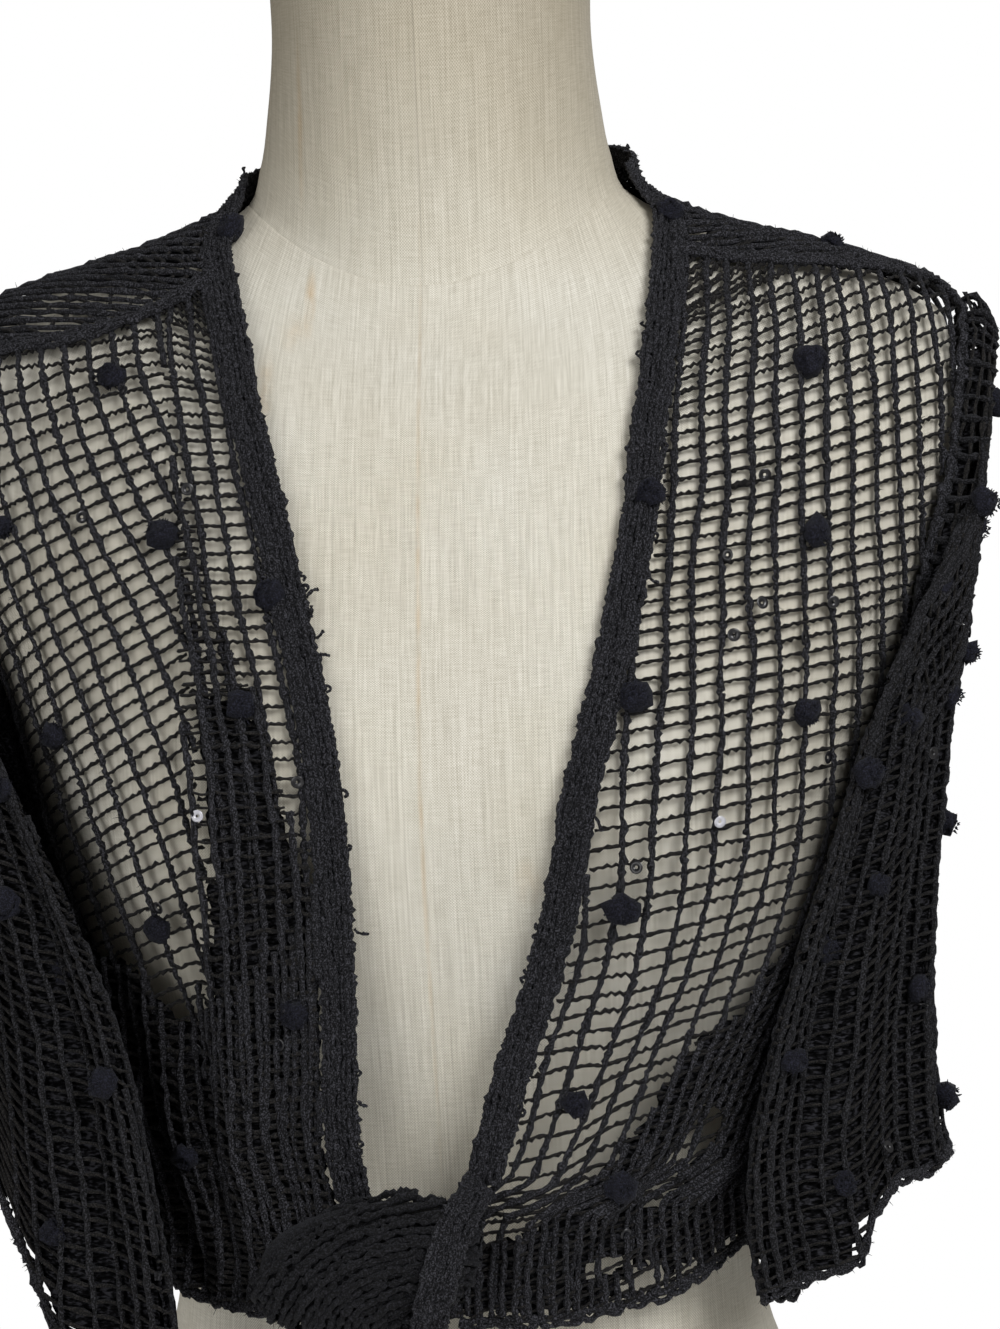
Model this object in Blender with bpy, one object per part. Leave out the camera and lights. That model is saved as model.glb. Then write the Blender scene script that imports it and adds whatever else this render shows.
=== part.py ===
"""A tie-front knitted shrug of open ladder net, worn by a limbless dress form.

Metres, +Z up. The form faces -Y and stands with its base board on z = 0, centred on the origin.
Left and right are the wearer's: left is +X.

Every surface of the torso and of the cloth on it is read from rings. A point on a ring is given by
its level (the ring's height at the side of the body) and by its angle: 0 degrees is the side line,
-90 the centre front and +90 the centre back, the same on both sides of the body.
"""
import math

import bmesh
import bpy
import numpy as np
from mathutils import Vector

# ---------------------------------------------------------------- driving sizes
LEFT, RIGHT = 1, -1
WALL = 0.0020              # thickness of the net, as thick as its wale cords
CLEAR = 0.0016             # air between the form and the cloth that lies on it
SEAM_GAP = 0.0004          # gap between two pieces at a seam
ROUND_GAP = 0.0012         # the same where a seam curves round the neck
BOARD = 0.0080             # base board of the form
BOARD_SHARE = 0.97         # its outline against the torso's
CAP_HEIGHT = 0.0060        # turned cap on the neck
EDGING_WIDTH = 0.0100      # chenille edging along the fronts and the neck
EDGING_THICK = 0.0046
EDGING_END = 0.2385        # level where the edging runs into the knot
UPPER_CHEST = 0.5400       # level up to which the edging runs straight up the fronts
SHOULDER_POINT = 0.5680    # level of the edging on top of the shoulders
BACK_NECK = 0.5900         # level of the edging behind the neck, up against the form's neck
NECK_CLIMB = {LEFT: 2.4, RIGHT: 1.6}    # how soon the edging reaches that level on its way back
BOBBLE = 0.0100            # tuft of yarn, across
BOBBLE_RISE = 0.0042
BOBBLE_TAPER = 0.22        # how far its top draws in, for its width
UNDERARM = 0.3950          # level of the lowest point of an armhole
TORSO_SIDES = 44
NECK_SIDES = 36
HUB = (0.0, 0.004, 0.5520)  # middle of the dished seam between torso and neck
CAP_COLUMNS = ("height_share", "width_share")
CAP = ((0.0, 0.94), (0.35, 0.97), (0.8, 0.93), (1.0, 0.84))
CAP_BACK = 0.012           # how far the turned cap draws in behind

RING_COLUMNS = ("level", "front_z", "back_z", "half_width", "front", "back", "square")
TORSO = (
    (0.0083, 0.0083, 0.0083, 0.1460, 0.094, 0.106, 2.20),
    (0.0300, 0.0300, 0.0300, 0.1520, 0.098, 0.112, 2.20),
    (0.0750, 0.0750, 0.0750, 0.1480, 0.098, 0.109, 2.20),
    (0.1200, 0.1200, 0.1200, 0.1290, 0.091, 0.095, 2.20),
    (0.1650, 0.1650, 0.1650, 0.1100, 0.084, 0.079, 2.15),
    (0.2030, 0.2030, 0.2030, 0.1055, 0.081, 0.073, 2.10),
    (0.2400, 0.2400, 0.2400, 0.1120, 0.085, 0.078, 2.10),
    (0.2800, 0.2800, 0.2800, 0.1240, 0.095, 0.087, 2.15),
    (0.3200, 0.3200, 0.3200, 0.1390, 0.106, 0.095, 2.20),
    (0.3550, 0.3550, 0.3550, 0.1500, 0.112, 0.099, 2.25),
    (0.3900, 0.3880, 0.3900, 0.1600, 0.110, 0.100, 2.35),
    (0.4250, 0.4140, 0.4250, 0.1720, 0.104, 0.099, 2.45),
    (0.4600, 0.4360, 0.4580, 0.1820, 0.098, 0.096, 2.50),
    (0.4920, 0.4560, 0.4890, 0.1870, 0.092, 0.091, 2.45),
    (0.5150, 0.4720, 0.5140, 0.1860, 0.087, 0.086, 2.35),
    (0.5310, 0.4850, 0.5320, 0.1790, 0.082, 0.081, 2.20),
    (0.5440, 0.4970, 0.5480, 0.1545, 0.077, 0.076, 2.10),
    (0.5550, 0.5080, 0.5610, 0.1230, 0.072, 0.070, 2.00),
    (0.5630, 0.5180, 0.5720, 0.0980, 0.067, 0.064, 2.00),
    (0.5700, 0.5280, 0.5810, 0.0800, 0.063, 0.059, 2.00),
    (0.5735, 0.5320, 0.5845, 0.0740, 0.0615, 0.057, 2.00),
    (0.5770, 0.5360, 0.5880, 0.0700, 0.060, 0.055, 2.00),
)
NECK = (
    (0.5770, 0.5360, 0.5880, 0.0700, 0.060, 0.055, 2.00),
    (0.5900, 0.5500, 0.6000, 0.0650, 0.059, 0.051, 2.00),
    (0.6100, 0.5790, 0.6180, 0.0615, 0.060, 0.047, 2.00),
    (0.6350, 0.6200, 0.6400, 0.0590, 0.063, 0.044, 2.00),
    (0.6620, 0.6620, 0.6620, 0.0595, 0.066, 0.042, 2.00),
)

BODY = TORSO + NECK[1:]

BUST_COLUMNS = ("x", "z", "rise", "spread", "height")
BUST = (0.082, 0.352, 0.013, 0.042, 0.055)

# how far the cloth hangs off the form: it bridges from the bust to the knot and blouses at the waist
EASE_COLUMNS = ("level", "front", "side", "back")
EASE = (
    (0.190, 0.020, 0.010, 0.014),
    (0.240, 0.021, 0.009, 0.012),
    (0.280, 0.014, 0.006, 0.008),
    (0.320, 0.005, 0.003, 0.004),
    (0.355, 0.001, 0.001, 0.001),
    (0.400, 0.000, 0.000, 0.000),
    (0.500, 0.000, 0.000, 0.000),
    (0.520, 0.000, 0.0020, 0.000),
    (0.533, 0.000, 0.0032, 0.0005),
    (0.547, 0.000, 0.0014, 0.0005),
    (0.563, 0.000, 0.000, 0.000),
    (0.577, 0.000, 0.002, 0.002),
    (0.586, 0.001, 0.006, 0.004),
    (0.600, 0.001, 0.006, 0.004),
)

# the inner edge of the V opening on each side of the centre front
V_COLUMNS = ("z", "left_x", "right_x")
V_EDGE = (
    (0.150, 0.0050, 0.0175),
    (0.233, 0.0055, 0.0180),
    (0.256, 0.0120, 0.0220),
    (0.279, 0.0190, 0.0225),
    (0.311, 0.0325, 0.0235),
    (0.328, 0.0380, 0.0240),
    (0.360, 0.0450, 0.0255),
    (0.398, 0.055, 0.031),
    (0.424, 0.061, 0.037),
    (0.450, 0.066, 0.043),
    (0.491, 0.071, 0.053),
    (0.516, 0.0745, 0.059),
    (0.547, 0.0775, 0.067),
    (0.564, 0.0765, 0.0705),
    (0.590, 0.0740, 0.0720),
)

# how far in front of the side line each shoulder seam runs, in degrees
SEAM_COLUMNS = ("level", "left_deg", "right_deg")
SHOULDER_SEAM = (
    (0.5280, 4.0, 30.0),
    (0.5320, 6.0, 34.0),
    (0.5430, 20.0, 42.0),
    (0.5545, 31.0, 43.0),
    (0.5650, 36.0, 40.0),
    (0.5720, 36.0, 38.0),
)

# each armhole, in degrees in front of and behind the side line
ARMHOLE_COLUMNS = ("level", "left_front", "left_back", "right_front", "right_back")
ARMHOLE = (
    (0.3950, 1.0, 1.0, 1.0, 1.0),
    (0.4020, 12.0, 12.0, 12.0, 11.0),
    (0.4160, 18.0, 19.0, 20.0, 17.0),
    (0.4450, 21.0, 25.0, 26.0, 22.0),
    (0.4750, 19.0, 26.0, 30.0, 22.0),
    (0.5000, 16.0, 22.0, 32.0, 17.0),
    (0.5180, 11.0, 12.0, 32.0, -4.0),
    (0.5280, 4.0, -4.0, 30.0, -30.0),
)

BODY_LEVELS = (0.193, 0.214, 0.236, 0.259, 0.283, 0.306, 0.328, 0.350, 0.372, 0.3945, 0.398, 0.402, 0.414,
               0.433, 0.453, 0.472, 0.490, 0.504, 0.515, 0.5215, 0.528, 0.531, 0.5375, 0.544, 0.5495,
               0.555, 0.559, 0.563, 0.5665, 0.570, 0.572, 0.5735, 0.5755, 0.577)
FRONT_COLUMNS = 13
BACK_COLUMNS = 25
NARROWEST_ROW = 2.0        # degrees: a front ends where its row gets narrower

# soft folds of the body cloth: a ridge from its top to its bottom point
FOLD_COLUMNS = ("side", "x_top", "z_top", "x_bottom", "z_bottom", "half_width", "rise")
FOLDS = (
    ("front", -0.083, 0.480, -0.052, 0.215, 0.014, 0.0075),
    ("front", -0.100, 0.330, -0.062, 0.210, 0.013, 0.0085),
    ("front", -0.120, 0.330, -0.074, 0.196, 0.012, 0.0075),
    ("front", -0.116, 0.262, -0.080, 0.185, 0.010, 0.0060),
    ("front", 0.078, 0.330, 0.024, 0.225, 0.012, 0.0060),
    ("front", 0.108, 0.310, 0.030, 0.210, 0.012, 0.0075),
    ("front", 0.124, 0.270, 0.034, 0.198, 0.011, 0.0065),
    ("back", -0.105, 0.330, -0.085, 0.190, 0.015, 0.0080),
    ("back", -0.052, 0.300, -0.044, 0.190, 0.014, 0.0070),
    ("back", 0.006, 0.320, 0.000, 0.190, 0.016, 0.0080),
    ("back", 0.060, 0.300, 0.049, 0.190, 0.013, 0.0070),
    ("back", 0.110, 0.335, 0.090, 0.190, 0.015, 0.0080),
)

# rings of each sleeve below its cap: the outermost and the lowest point of the ring beside the body,
# the ring's middle along the body, half its depth, how far its front and back ends curl in towards
# the body, and how far its front end drops
SLEEVE_COLUMNS = ("out_x", "out_z", "under_x", "under_z", "y", "half_depth",
                  "front_in", "back_in", "front_drop")
SLEEVES = {
    "sleeve_left": (LEFT, (
        (0.1970, 0.5080, 0.1815, 0.3935, 0.001, 0.050, 0.000, 0.000, 0.000),
        (0.1965, 0.4860, 0.1790, 0.3790, 0.001, 0.056, 0.005, 0.003, 0.000),
        (0.1920, 0.4600, 0.1690, 0.3620, 0.000, 0.061, 0.015, 0.006, 0.000),
        (0.1865, 0.4280, 0.1595, 0.3450, -0.001, 0.065, 0.022, 0.009, 0.001),
        (0.1815, 0.3950, 0.1535, 0.3270, -0.002, 0.069, 0.026, 0.012, 0.002),
        (0.1770, 0.3620, 0.1480, 0.3080, -0.003, 0.072, 0.030, 0.015, 0.003),
        (0.1730, 0.3300, 0.1425, 0.2880, -0.004, 0.075, 0.035, 0.018, 0.005),
        (0.1700, 0.2980, 0.1370, 0.2680, -0.005, 0.078, 0.040, 0.021, 0.008),
        (0.1685, 0.2680, 0.1330, 0.2460, -0.006, 0.080, 0.044, 0.023, 0.012),
        (0.1690, 0.2420, 0.1300, 0.2220, -0.007, 0.082, 0.045, 0.024, 0.015),
        (0.1730, 0.2160, 0.1280, 0.1940, -0.007, 0.084, 0.043, 0.024, 0.018),
    )),
    "sleeve_right": (RIGHT, (
        (0.1970, 0.5080, 0.1815, 0.3935, -0.012, 0.054, 0.002, 0.000, 0.000),
        (0.1975, 0.4860, 0.1790, 0.3790, -0.012, 0.059, 0.006, 0.002, 0.000),
        (0.1935, 0.4600, 0.1690, 0.3620, -0.014, 0.063, 0.013, 0.004, 0.000),
        (0.1885, 0.4280, 0.1605, 0.3450, -0.017, 0.067, 0.022, 0.008, 0.001),
        (0.1840, 0.3950, 0.1545, 0.3270, -0.021, 0.071, 0.031, 0.011, 0.002),
        (0.1800, 0.3620, 0.1490, 0.3080, -0.025, 0.075, 0.040, 0.014, 0.003),
        (0.1770, 0.3300, 0.1435, 0.2880, -0.028, 0.078, 0.048, 0.016, 0.005),
        (0.1750, 0.3000, 0.1398, 0.2680, -0.031, 0.081, 0.055, 0.018, 0.008),
        (0.1740, 0.2740, 0.1368, 0.2470, -0.034, 0.083, 0.060, 0.020, 0.012),
        (0.1740, 0.2520, 0.1330, 0.2240, -0.037, 0.085, 0.064, 0.021, 0.016),
        (0.1750, 0.2300, 0.1300, 0.1950, -0.038, 0.087, 0.067, 0.022, 0.020),
    )),
}
SLEEVE_SIDES = 36          # a multiple of four
DROP_START, DROP_RUN = 0.45, 0.30    # where the front end of a ring starts to drop, and how soon
SLEEVE_FOLD_COLUMNS = ("waves", "start_deg", "rise")
SLEEVE_FOLDS = ((5, 40.0, 0.0028), (8, 115.0, 0.0018))
ARMHOLE_INSET = 0.0013     # how far inside the armhole's edge a sleeve starts
SEAM_LIFT = 0.0012         # where the sleeve's edge meets the wall of the body
CAP_LIFT = 0.0065          # how far the sleeve stands off the body before it falls
CAP_BULGE = 0.0035         # how far the cap rounds out between there and the first ring
CAP_RISE = 0.0020          # how much further the cap stands off at its top

KNOT_CENTRE = (-0.0225, -0.1215, 0.2130)
KNOT_HALF = (0.0365, 0.0150, 0.0205)
KNOT_RIBS = 9
KNOT_RIB_RISE = 0.0013
KNOT_SLANT = 1.1           # how far round the ribs turn from the middle to an end, in radians
KNOT_TILT = 0.12           # how far it rises to the left for its width
TIE_COLUMNS = ("x", "y", "z", "half_width", "half_thick")
TIE_ENDS = {
    "tie_end_left": (
        (-0.0130, -0.1195, 0.1925, 0.0070, 0.0055),
        (-0.0110, -0.1185, 0.1740, 0.0095, 0.0050),
        (-0.0070, -0.1160, 0.1540, 0.0125, 0.0045),
        (-0.0020, -0.1140, 0.1360, 0.0140, 0.0040),
    ),
    "tie_end_right": (
        (-0.0340, -0.1190, 0.1900, 0.0070, 0.0055),
        (-0.0370, -0.1175, 0.1730, 0.0095, 0.0050),
        (-0.0420, -0.1150, 0.1560, 0.0120, 0.0045),
        (-0.0480, -0.1130, 0.1400, 0.0130, 0.0040),
    ),
}

# rows of bobbles: they come round with the yarn's own repeat
BOBBLE_STEP = 0.0590
BOBBLE_COLUMNS = ("side", "x_top", "z_top", "x_bottom", "z_bottom")
BOBBLE_ROWS = {
    "front_left": (("front", 0.132, 0.503, 0.105, 0.262), ("front", 0.086, 0.458, 0.052, 0.240)),
    "front_right": (
        ("front", -0.109, 0.507, -0.112, 0.270),
        ("front", -0.088, 0.4506, -0.089, 0.225),
        ("front", -0.146, 0.456, -0.125, 0.230),
        ("front", -0.054, 0.429, -0.050, 0.245),
    ),
    "back": (
        ("back", -0.152, 0.485, -0.100, 0.215),
        ("back", -0.110, 0.540, -0.075, 0.220),
        ("back", -0.058, 0.555, -0.038, 0.230),
        ("back", -0.004, 0.545, -0.002, 0.215),
        ("back", 0.050, 0.560, 0.036, 0.235),
        ("back", 0.100, 0.545, 0.072, 0.220),
        ("back", 0.148, 0.500, 0.104, 0.230),
    ),
}


# ---------------------------------------------------------------- reading the tables
def column(table, index, at):
    """Smooth value of one column at the given value of the first column."""
    knots = np.array([row[0] for row in table])
    values = np.array([row[index] for row in table])
    span = np.diff(knots)
    slope = np.diff(values) / span
    tangent = np.empty(len(knots))
    tangent[0], tangent[-1] = slope[0], slope[-1]
    tangent[1:-1] = (slope[:-1] * span[1:] + slope[1:] * span[:-1]) / (span[1:] + span[:-1])
    at = np.clip(np.asarray(at, float), knots[0], knots[-1])
    i = np.clip(np.searchsorted(knots, at, side="right") - 1, 0, len(span) - 1)
    t = (at - knots[i]) / span[i]
    start = (2 * t**3 - 3 * t**2 + 1) * values[i] + (t**3 - 2 * t**2 + t) * span[i] * tangent[i]
    end = (3 * t**2 - 2 * t**3) * values[i + 1] + (t**3 - t**2) * span[i] * tangent[i + 1]
    return start + end


def ring_point(table, level, degrees, side=LEFT):
    """Point of a ring of the body. Negative degrees are in front of the side line."""
    level, degrees = np.broadcast_arrays(np.asarray(level, float), np.asarray(degrees, float))
    front_z, back_z, half_width, front, back, square = [column(table, k, level) for k in range(1, 7)]
    c = np.cos(np.radians(degrees))
    s = np.sin(np.radians(degrees))
    ahead = s < 0
    x = side * half_width * np.sign(c) * np.abs(c) ** (2 / square)
    y = np.where(ahead, front, back) * np.sign(s) * np.abs(s) ** (2 / square)
    z = level + np.where(ahead, front_z - level, back_z - level) * s * s
    bust_x, bust_z, rise, spread, height = BUST
    mound = np.exp(-((np.abs(x) - bust_x) / spread) ** 2 - ((z - bust_z) / height) ** 2)
    y = y - np.where(ahead, rise * mound, 0) * np.abs(s)
    return np.stack([x, y, z], -1)


def fold_rise(points):
    """How far the soft folds lift the cloth at points of the body."""
    x, y, z = points[..., 0], points[..., 1], points[..., 2]
    rise = np.zeros(x.shape)
    for side, x_top, z_top, x_bottom, z_bottom, half_width, height in FOLDS:
        along = np.clip((z_top - z) / (z_top - z_bottom), 0, 1)
        offset = np.abs(x - (x_top + (x_bottom - x_top) * along)) / half_width
        ridge = np.cos(np.clip(offset, 0, 1) * math.pi / 2) ** 2
        grows = np.sin(along * math.pi / 2) ** 1.3
        facing = (y < 0) if side == "front" else (y > 0)
        rise = np.maximum(rise, np.where(facing, height * ridge * grows, 0))
    return rise


def slopes(level, degrees, side):
    """How a point of the body moves for a metre of level and for a degree."""
    rise, swing = 0.0002, 0.02
    above, below = [ring_point(BODY, level + step, degrees, side) for step in (rise, -rise)]
    after, before = [ring_point(BODY, level, degrees + step, side) for step in (swing, -swing)]
    return (above - below) / (2 * rise), (after - before) / (2 * swing)


def cloth_point(level, degrees, side=LEFT, out=CLEAR):
    """Point of the cloth on the body, out from the form's surface."""
    point = ring_point(BODY, level, degrees, side)
    up, turn = slopes(level, degrees, side)
    normal = np.cross(turn, up) * side
    normal /= np.linalg.norm(normal, axis=-1, keepdims=True)
    s = np.sin(np.radians(degrees))
    front, at_side, back = [np.maximum(0, column(EASE, k, level)) for k in (1, 2, 3)]
    ease = at_side + (np.where(s < 0, front, back) - at_side) * s * s
    return point + normal * (ease + out + fold_rise(point))[..., None]


def v_degrees(level, side, beyond=0.0):
    """Degrees at which a ring meets the V edge of one front, or a line beyond it."""
    index = 1 if side == LEFT else 2
    half_width = float(column(TORSO, 3, level))
    front_z = float(column(TORSO, 1, level))
    square = float(column(TORSO, 6, level))
    height = level
    degrees = 0.0
    for _ in range(30):
        x = float(column(V_EDGE, index, height)) + beyond
        degrees = -math.degrees(math.acos(min(1.0, x / half_width) ** (square / 2)))
        height = 0.5 * height + 0.5 * (level + (front_z - level) * math.sin(math.radians(degrees)) ** 2)
    return degrees


def edging_line(side):
    """Levels and degrees of the edging's middle, from the knot up one front to the centre back."""
    levels = list(np.linspace(EDGING_END, UPPER_CHEST, 24)) + [0.548, 0.556, 0.562, SHOULDER_POINT]
    degrees = [v_degrees(level, side, EDGING_WIDTH / 2) for level in levels]
    start = degrees[-1]
    for share in np.linspace(0, 1, 13)[1:]:
        climb = math.sin(min(1.0, share * NECK_CLIMB[side]) * math.pi / 2)
        levels.append(SHOULDER_POINT + (BACK_NECK - SHOULDER_POINT) * climb)
        degrees.append(start + (90.0 - start) * share)
    return np.array(levels), np.array(degrees)


def beside_edging(side):
    """The line that a panel keeps beside the edging: its levels and degrees."""
    levels, degrees = edging_line(side)
    up, turn = slopes(levels, degrees, side)
    path = ring_point(BODY, levels, degrees, side)
    along = np.gradient(path, axis=0)
    outwards = np.cross(along, np.cross(turn, up) * side)
    outwards *= side * (EDGING_WIDTH / 2 + ROUND_GAP) / np.linalg.norm(outwards, axis=1, keepdims=True)
    moved = []
    for level, angle, a, b, offset in zip(levels, degrees, up, turn, outwards):
        share = np.linalg.lstsq(np.stack([a, b], -1), offset, rcond=None)[0]
        moved.append((level + share[0], angle + share[1]))
    return np.array(moved)


def edge_degrees(level, side):
    """Degrees at which a panel's row starts beside the edging."""
    if level < EDGING_END - EDGING_WIDTH:
        return v_degrees(level, side, SEAM_GAP)
    if level < 0.530:
        return v_degrees(level, side, EDGING_WIDTH + SEAM_GAP)
    line = beside_edging(side)
    high = line[line[:, 0] > 0.52]
    rising = np.maximum.accumulate(high[:, 0])
    return float(np.interp(level, rising, high[:, 1]))


def seam_degrees(level, side):
    return -float(column(SHOULDER_SEAM, 1 if side == LEFT else 2, level))


def armhole_degrees(level, side, behind):
    """Edge of the armhole on a ring: the side line below it, the shoulder seam above it."""
    if level <= UNDERARM:
        return 0.0
    if level >= ARMHOLE[-1][0]:
        return seam_degrees(level, side)
    index = (1 if side == LEFT else 3) + (1 if behind else 0)
    degrees = float(column(ARMHOLE, index, level))
    return degrees if behind else -degrees


def gap_degrees(level, gap=SEAM_GAP / 2):
    return math.degrees(gap / float(column(TORSO, 3, level)))


# ---------------------------------------------------------------- making meshes
def material(name, colour, roughness, metallic=0.0):
    mat = bpy.data.materials.new(name)
    mat.use_nodes = True
    shader = mat.node_tree.nodes["Principled BSDF"]
    shader.inputs["Base Color"].default_value = (*colour, 1.0)
    shader.inputs["Roughness"].default_value = roughness
    shader.inputs["Metallic"].default_value = metallic
    return mat


def finish_object(bm, name, mat, collection, sharp=50.0):
    mesh = bpy.data.meshes.new(name)
    bm.to_mesh(mesh)
    bm.free()
    mesh.shade_smooth()
    mesh.set_sharp_from_angle(angle=math.radians(sharp))
    mesh.materials.append(mat)
    obj = bpy.data.objects.new(name, mesh)
    collection.objects.link(obj)
    return obj


def loft(rings, closed=True, ends="open"):
    """Quads between rings of points. Ends: open, flat, or a fan to a given pair of points."""
    bm = bmesh.new()
    rows = [[bm.verts.new(Vector(point)) for point in ring] for ring in rings]
    count = len(rows[0])
    for low, high in zip(rows, rows[1:]):
        for i in range(count if closed else count - 1):
            j = (i + 1) % count
            bm.faces.new((low[i], low[j], high[j], high[i]))
    if ends == "flat":
        bm.faces.new(rows[0][::-1])
        bm.faces.new(rows[-1])
    elif ends != "open":
        for ring, centre in zip((rows[0][::-1], rows[-1]), ends):
            if centre is None:
                bm.faces.new(ring)
                continue
            hub = bm.verts.new(Vector(centre))
            for i in range(count):
                bm.faces.new((ring[i], ring[(i + 1) % count], hub))
    return bm


def wall(outer, inner, closed, name, mat, collection):
    """A net piece: its outer rows of points, its inner rows, and the rim between them."""
    bm = bmesh.new()
    sides = [[[bm.verts.new(Vector(point)) for point in row] for row in rows] for rows in (outer, inner)]
    count = len(outer[0])
    reach = count if closed else count - 1

    def skin(rows, flip):
        for low, high in zip(rows, rows[1:]):
            for i in range(reach):
                j = (i + 1) % count
                corners = (low[i], low[j], high[j], high[i])
                bm.faces.new(corners[::-1] if flip else corners)

    skin(sides[0], False)
    skin(sides[1], True)
    skin((sides[1][0], sides[0][0]), False)
    skin((sides[0][-1], sides[1][-1]), False)
    if not closed:
        for k, flip in ((0, False), (-1, True)):
            for low in range(len(outer) - 1):
                corners = (sides[0][low][k], sides[0][low + 1][k], sides[1][low + 1][k], sides[1][low][k])
                bm.faces.new(corners[::-1] if flip else corners)
    return finish_object(bm, name, mat, collection), (len(outer) - 1) * reach


def inner_rows(outer, closed):
    """Rows of points one wall in from the outer rows, along the surface's own normals."""
    grid = np.array(outer)
    if closed:
        along = np.roll(grid, -1, axis=1) - np.roll(grid, 1, axis=1)
    else:
        along = np.gradient(grid, axis=1)
    normals = np.cross(along, np.gradient(grid, axis=0))
    normals /= np.linalg.norm(normals, axis=-1, keepdims=True)
    return grid - WALL * normals


def spread_degrees(level, side, start, end, count):
    """Angles along a ring, closer together where the ring turns faster."""
    degrees = np.linspace(start, end, 241)
    points = ring_point(BODY, level, degrees, side)
    steps = np.diff(points, axis=0)
    lengths = np.linalg.norm(steps, axis=1)
    heading = steps / lengths[:, None]
    turns = np.linalg.norm(np.diff(heading, axis=0), axis=1)
    turns = np.concatenate([turns[:1], turns])
    measure = lengths / lengths.sum() + turns / max(turns.sum(), 1e-9)
    total = np.concatenate([[0.0], np.cumsum(measure)])
    return np.interp(np.linspace(0, total[-1], count + 1), total, degrees)


def raise_bobbles(obj, outer_faces, targets):
    """Raises a rounded tuft in the outer face nearest to each target point."""
    bm = bmesh.new()
    bm.from_mesh(obj.data)
    bm.faces.ensure_lookup_table()
    outer = [bm.faces[i] for i in range(outer_faces)]
    centres = np.array([face.calc_center_median() for face in outer])
    chosen = {int(np.argmin(np.linalg.norm(centres - np.array(t), axis=1))) for t in targets}
    for index in sorted(chosen):
        face = outer[index]
        narrow = min(edge.calc_length() for edge in face.edges)
        inset = max(0.0005, (narrow - BOBBLE) / 2)
        bmesh.ops.inset_individual(bm, faces=[face], thickness=inset, depth=0.0)
        bmesh.ops.inset_individual(bm, faces=[face], thickness=BOBBLE * BOBBLE_TAPER, depth=BOBBLE_RISE)
    bm.to_mesh(obj.data)
    bm.free()


# ---------------------------------------------------------------- the dress form
def make_torso(collection, linen):
    degrees = np.arange(TORSO_SIDES) * 360.0 / TORSO_SIDES
    levels = [row[0] for row in TORSO]
    rings = [ring_point(TORSO, level, degrees) for level in levels]
    bm = loft(rings, ends=(None, HUB))
    return finish_object(bm, "form_torso", linen, collection)


def make_neck(collection, linen):
    degrees = np.arange(TORSO_SIDES) * 360.0 / TORSO_SIDES
    rings = [ring_point(NECK, row[0], degrees) for row in NECK]
    raised = np.array([0.0, 0.0, SEAM_GAP])
    rings[0] = rings[0] + raised
    bm = loft(rings, ends=(np.array(HUB) + raised, None))
    return finish_object(bm, "form_neck", linen, collection)


def make_neck_cap(collection, wood):
    top = NECK[-1][0] + SEAM_GAP
    degrees = np.arange(NECK_SIDES) * 360.0 / NECK_SIDES
    rim = ring_point(NECK, NECK[-1][0], degrees)
    rings = []
    for height, share in CAP:
        centre = np.array([0.0, -CAP_BACK * (1 - share), top + height * CAP_HEIGHT])
        rings.append(rim * np.array([share, share, 0.0]) + centre)
    return finish_object(loft(rings, ends="flat"), "form_neck_cap", wood, collection, sharp=35.0)


def make_base(collection, wood):
    degrees = np.arange(TORSO_SIDES) * 360.0 / TORSO_SIDES
    rim = ring_point(TORSO, TORSO[0][0], degrees)
    flat = np.array([BOARD_SHARE, BOARD_SHARE, 0.0])
    rings = [rim * flat, rim * flat + np.array([0.0, 0.0, BOARD])]
    return finish_object(loft(rings, ends="flat"), "form_base", wood, collection, sharp=35.0)


# ---------------------------------------------------------------- the body of the shrug
def make_front(name, side, collection, yarn):
    outer, inner = [], []
    for level in BODY_LEVELS:
        edge = edge_degrees(level, side)
        seam = armhole_degrees(level, side, False) - gap_degrees(level)
        if seam - edge < NARROWEST_ROW:
            break
        degrees = spread_degrees(level, side, edge, seam, FRONT_COLUMNS)
        degrees = degrees if side == LEFT else degrees[::-1]
        outer.append(cloth_point(level, degrees, side, CLEAR + WALL))
        inner.append(cloth_point(level, degrees, side, CLEAR))
    obj, outer_faces = wall(outer, inner, False, name, yarn, collection)
    raise_bobbles(obj, outer_faces, bobble_targets(name))
    return obj


def make_back(collection, yarn):
    outer, inner = [], []
    for level in BODY_LEVELS:
        starts = []
        for side in (LEFT, RIGHT):
            seam = armhole_degrees(level, side, True) + gap_degrees(level)
            starts.append(max(seam, edge_degrees(level, side)) if level > ARMHOLE[-1][0] else seam)
        degrees = spread_degrees(level, LEFT, starts[0], 180.0 - starts[1], BACK_COLUMNS)
        outer.append(cloth_point(level, degrees, LEFT, CLEAR + WALL))
        inner.append(cloth_point(level, degrees, LEFT, CLEAR))
    obj, outer_faces = wall(outer, inner, False, "back", yarn, collection)
    raise_bobbles(obj, outer_faces, bobble_targets("back"))
    return obj


def bobble_targets(name):
    """Points on the body, one repeat apart along each row of bobbles."""
    targets = []
    for facing, x_top, z_top, x_bottom, z_bottom in BOBBLE_ROWS[name]:
        count = int((z_top - z_bottom) / BOBBLE_STEP) + 1
        for k in range(count):
            z = z_top - k * BOBBLE_STEP
            x = x_top + (x_bottom - x_top) * (z_top - z) / (z_top - z_bottom)
            half_width = float(column(TORSO, 3, z))
            share = min(0.98, abs(x) / half_width)
            depth = float(column(TORSO, 4 if facing == "front" else 5, z)) * math.sqrt(1 - share**2)
            targets.append((x, -depth if facing == "front" else depth, z))
    return targets


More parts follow.
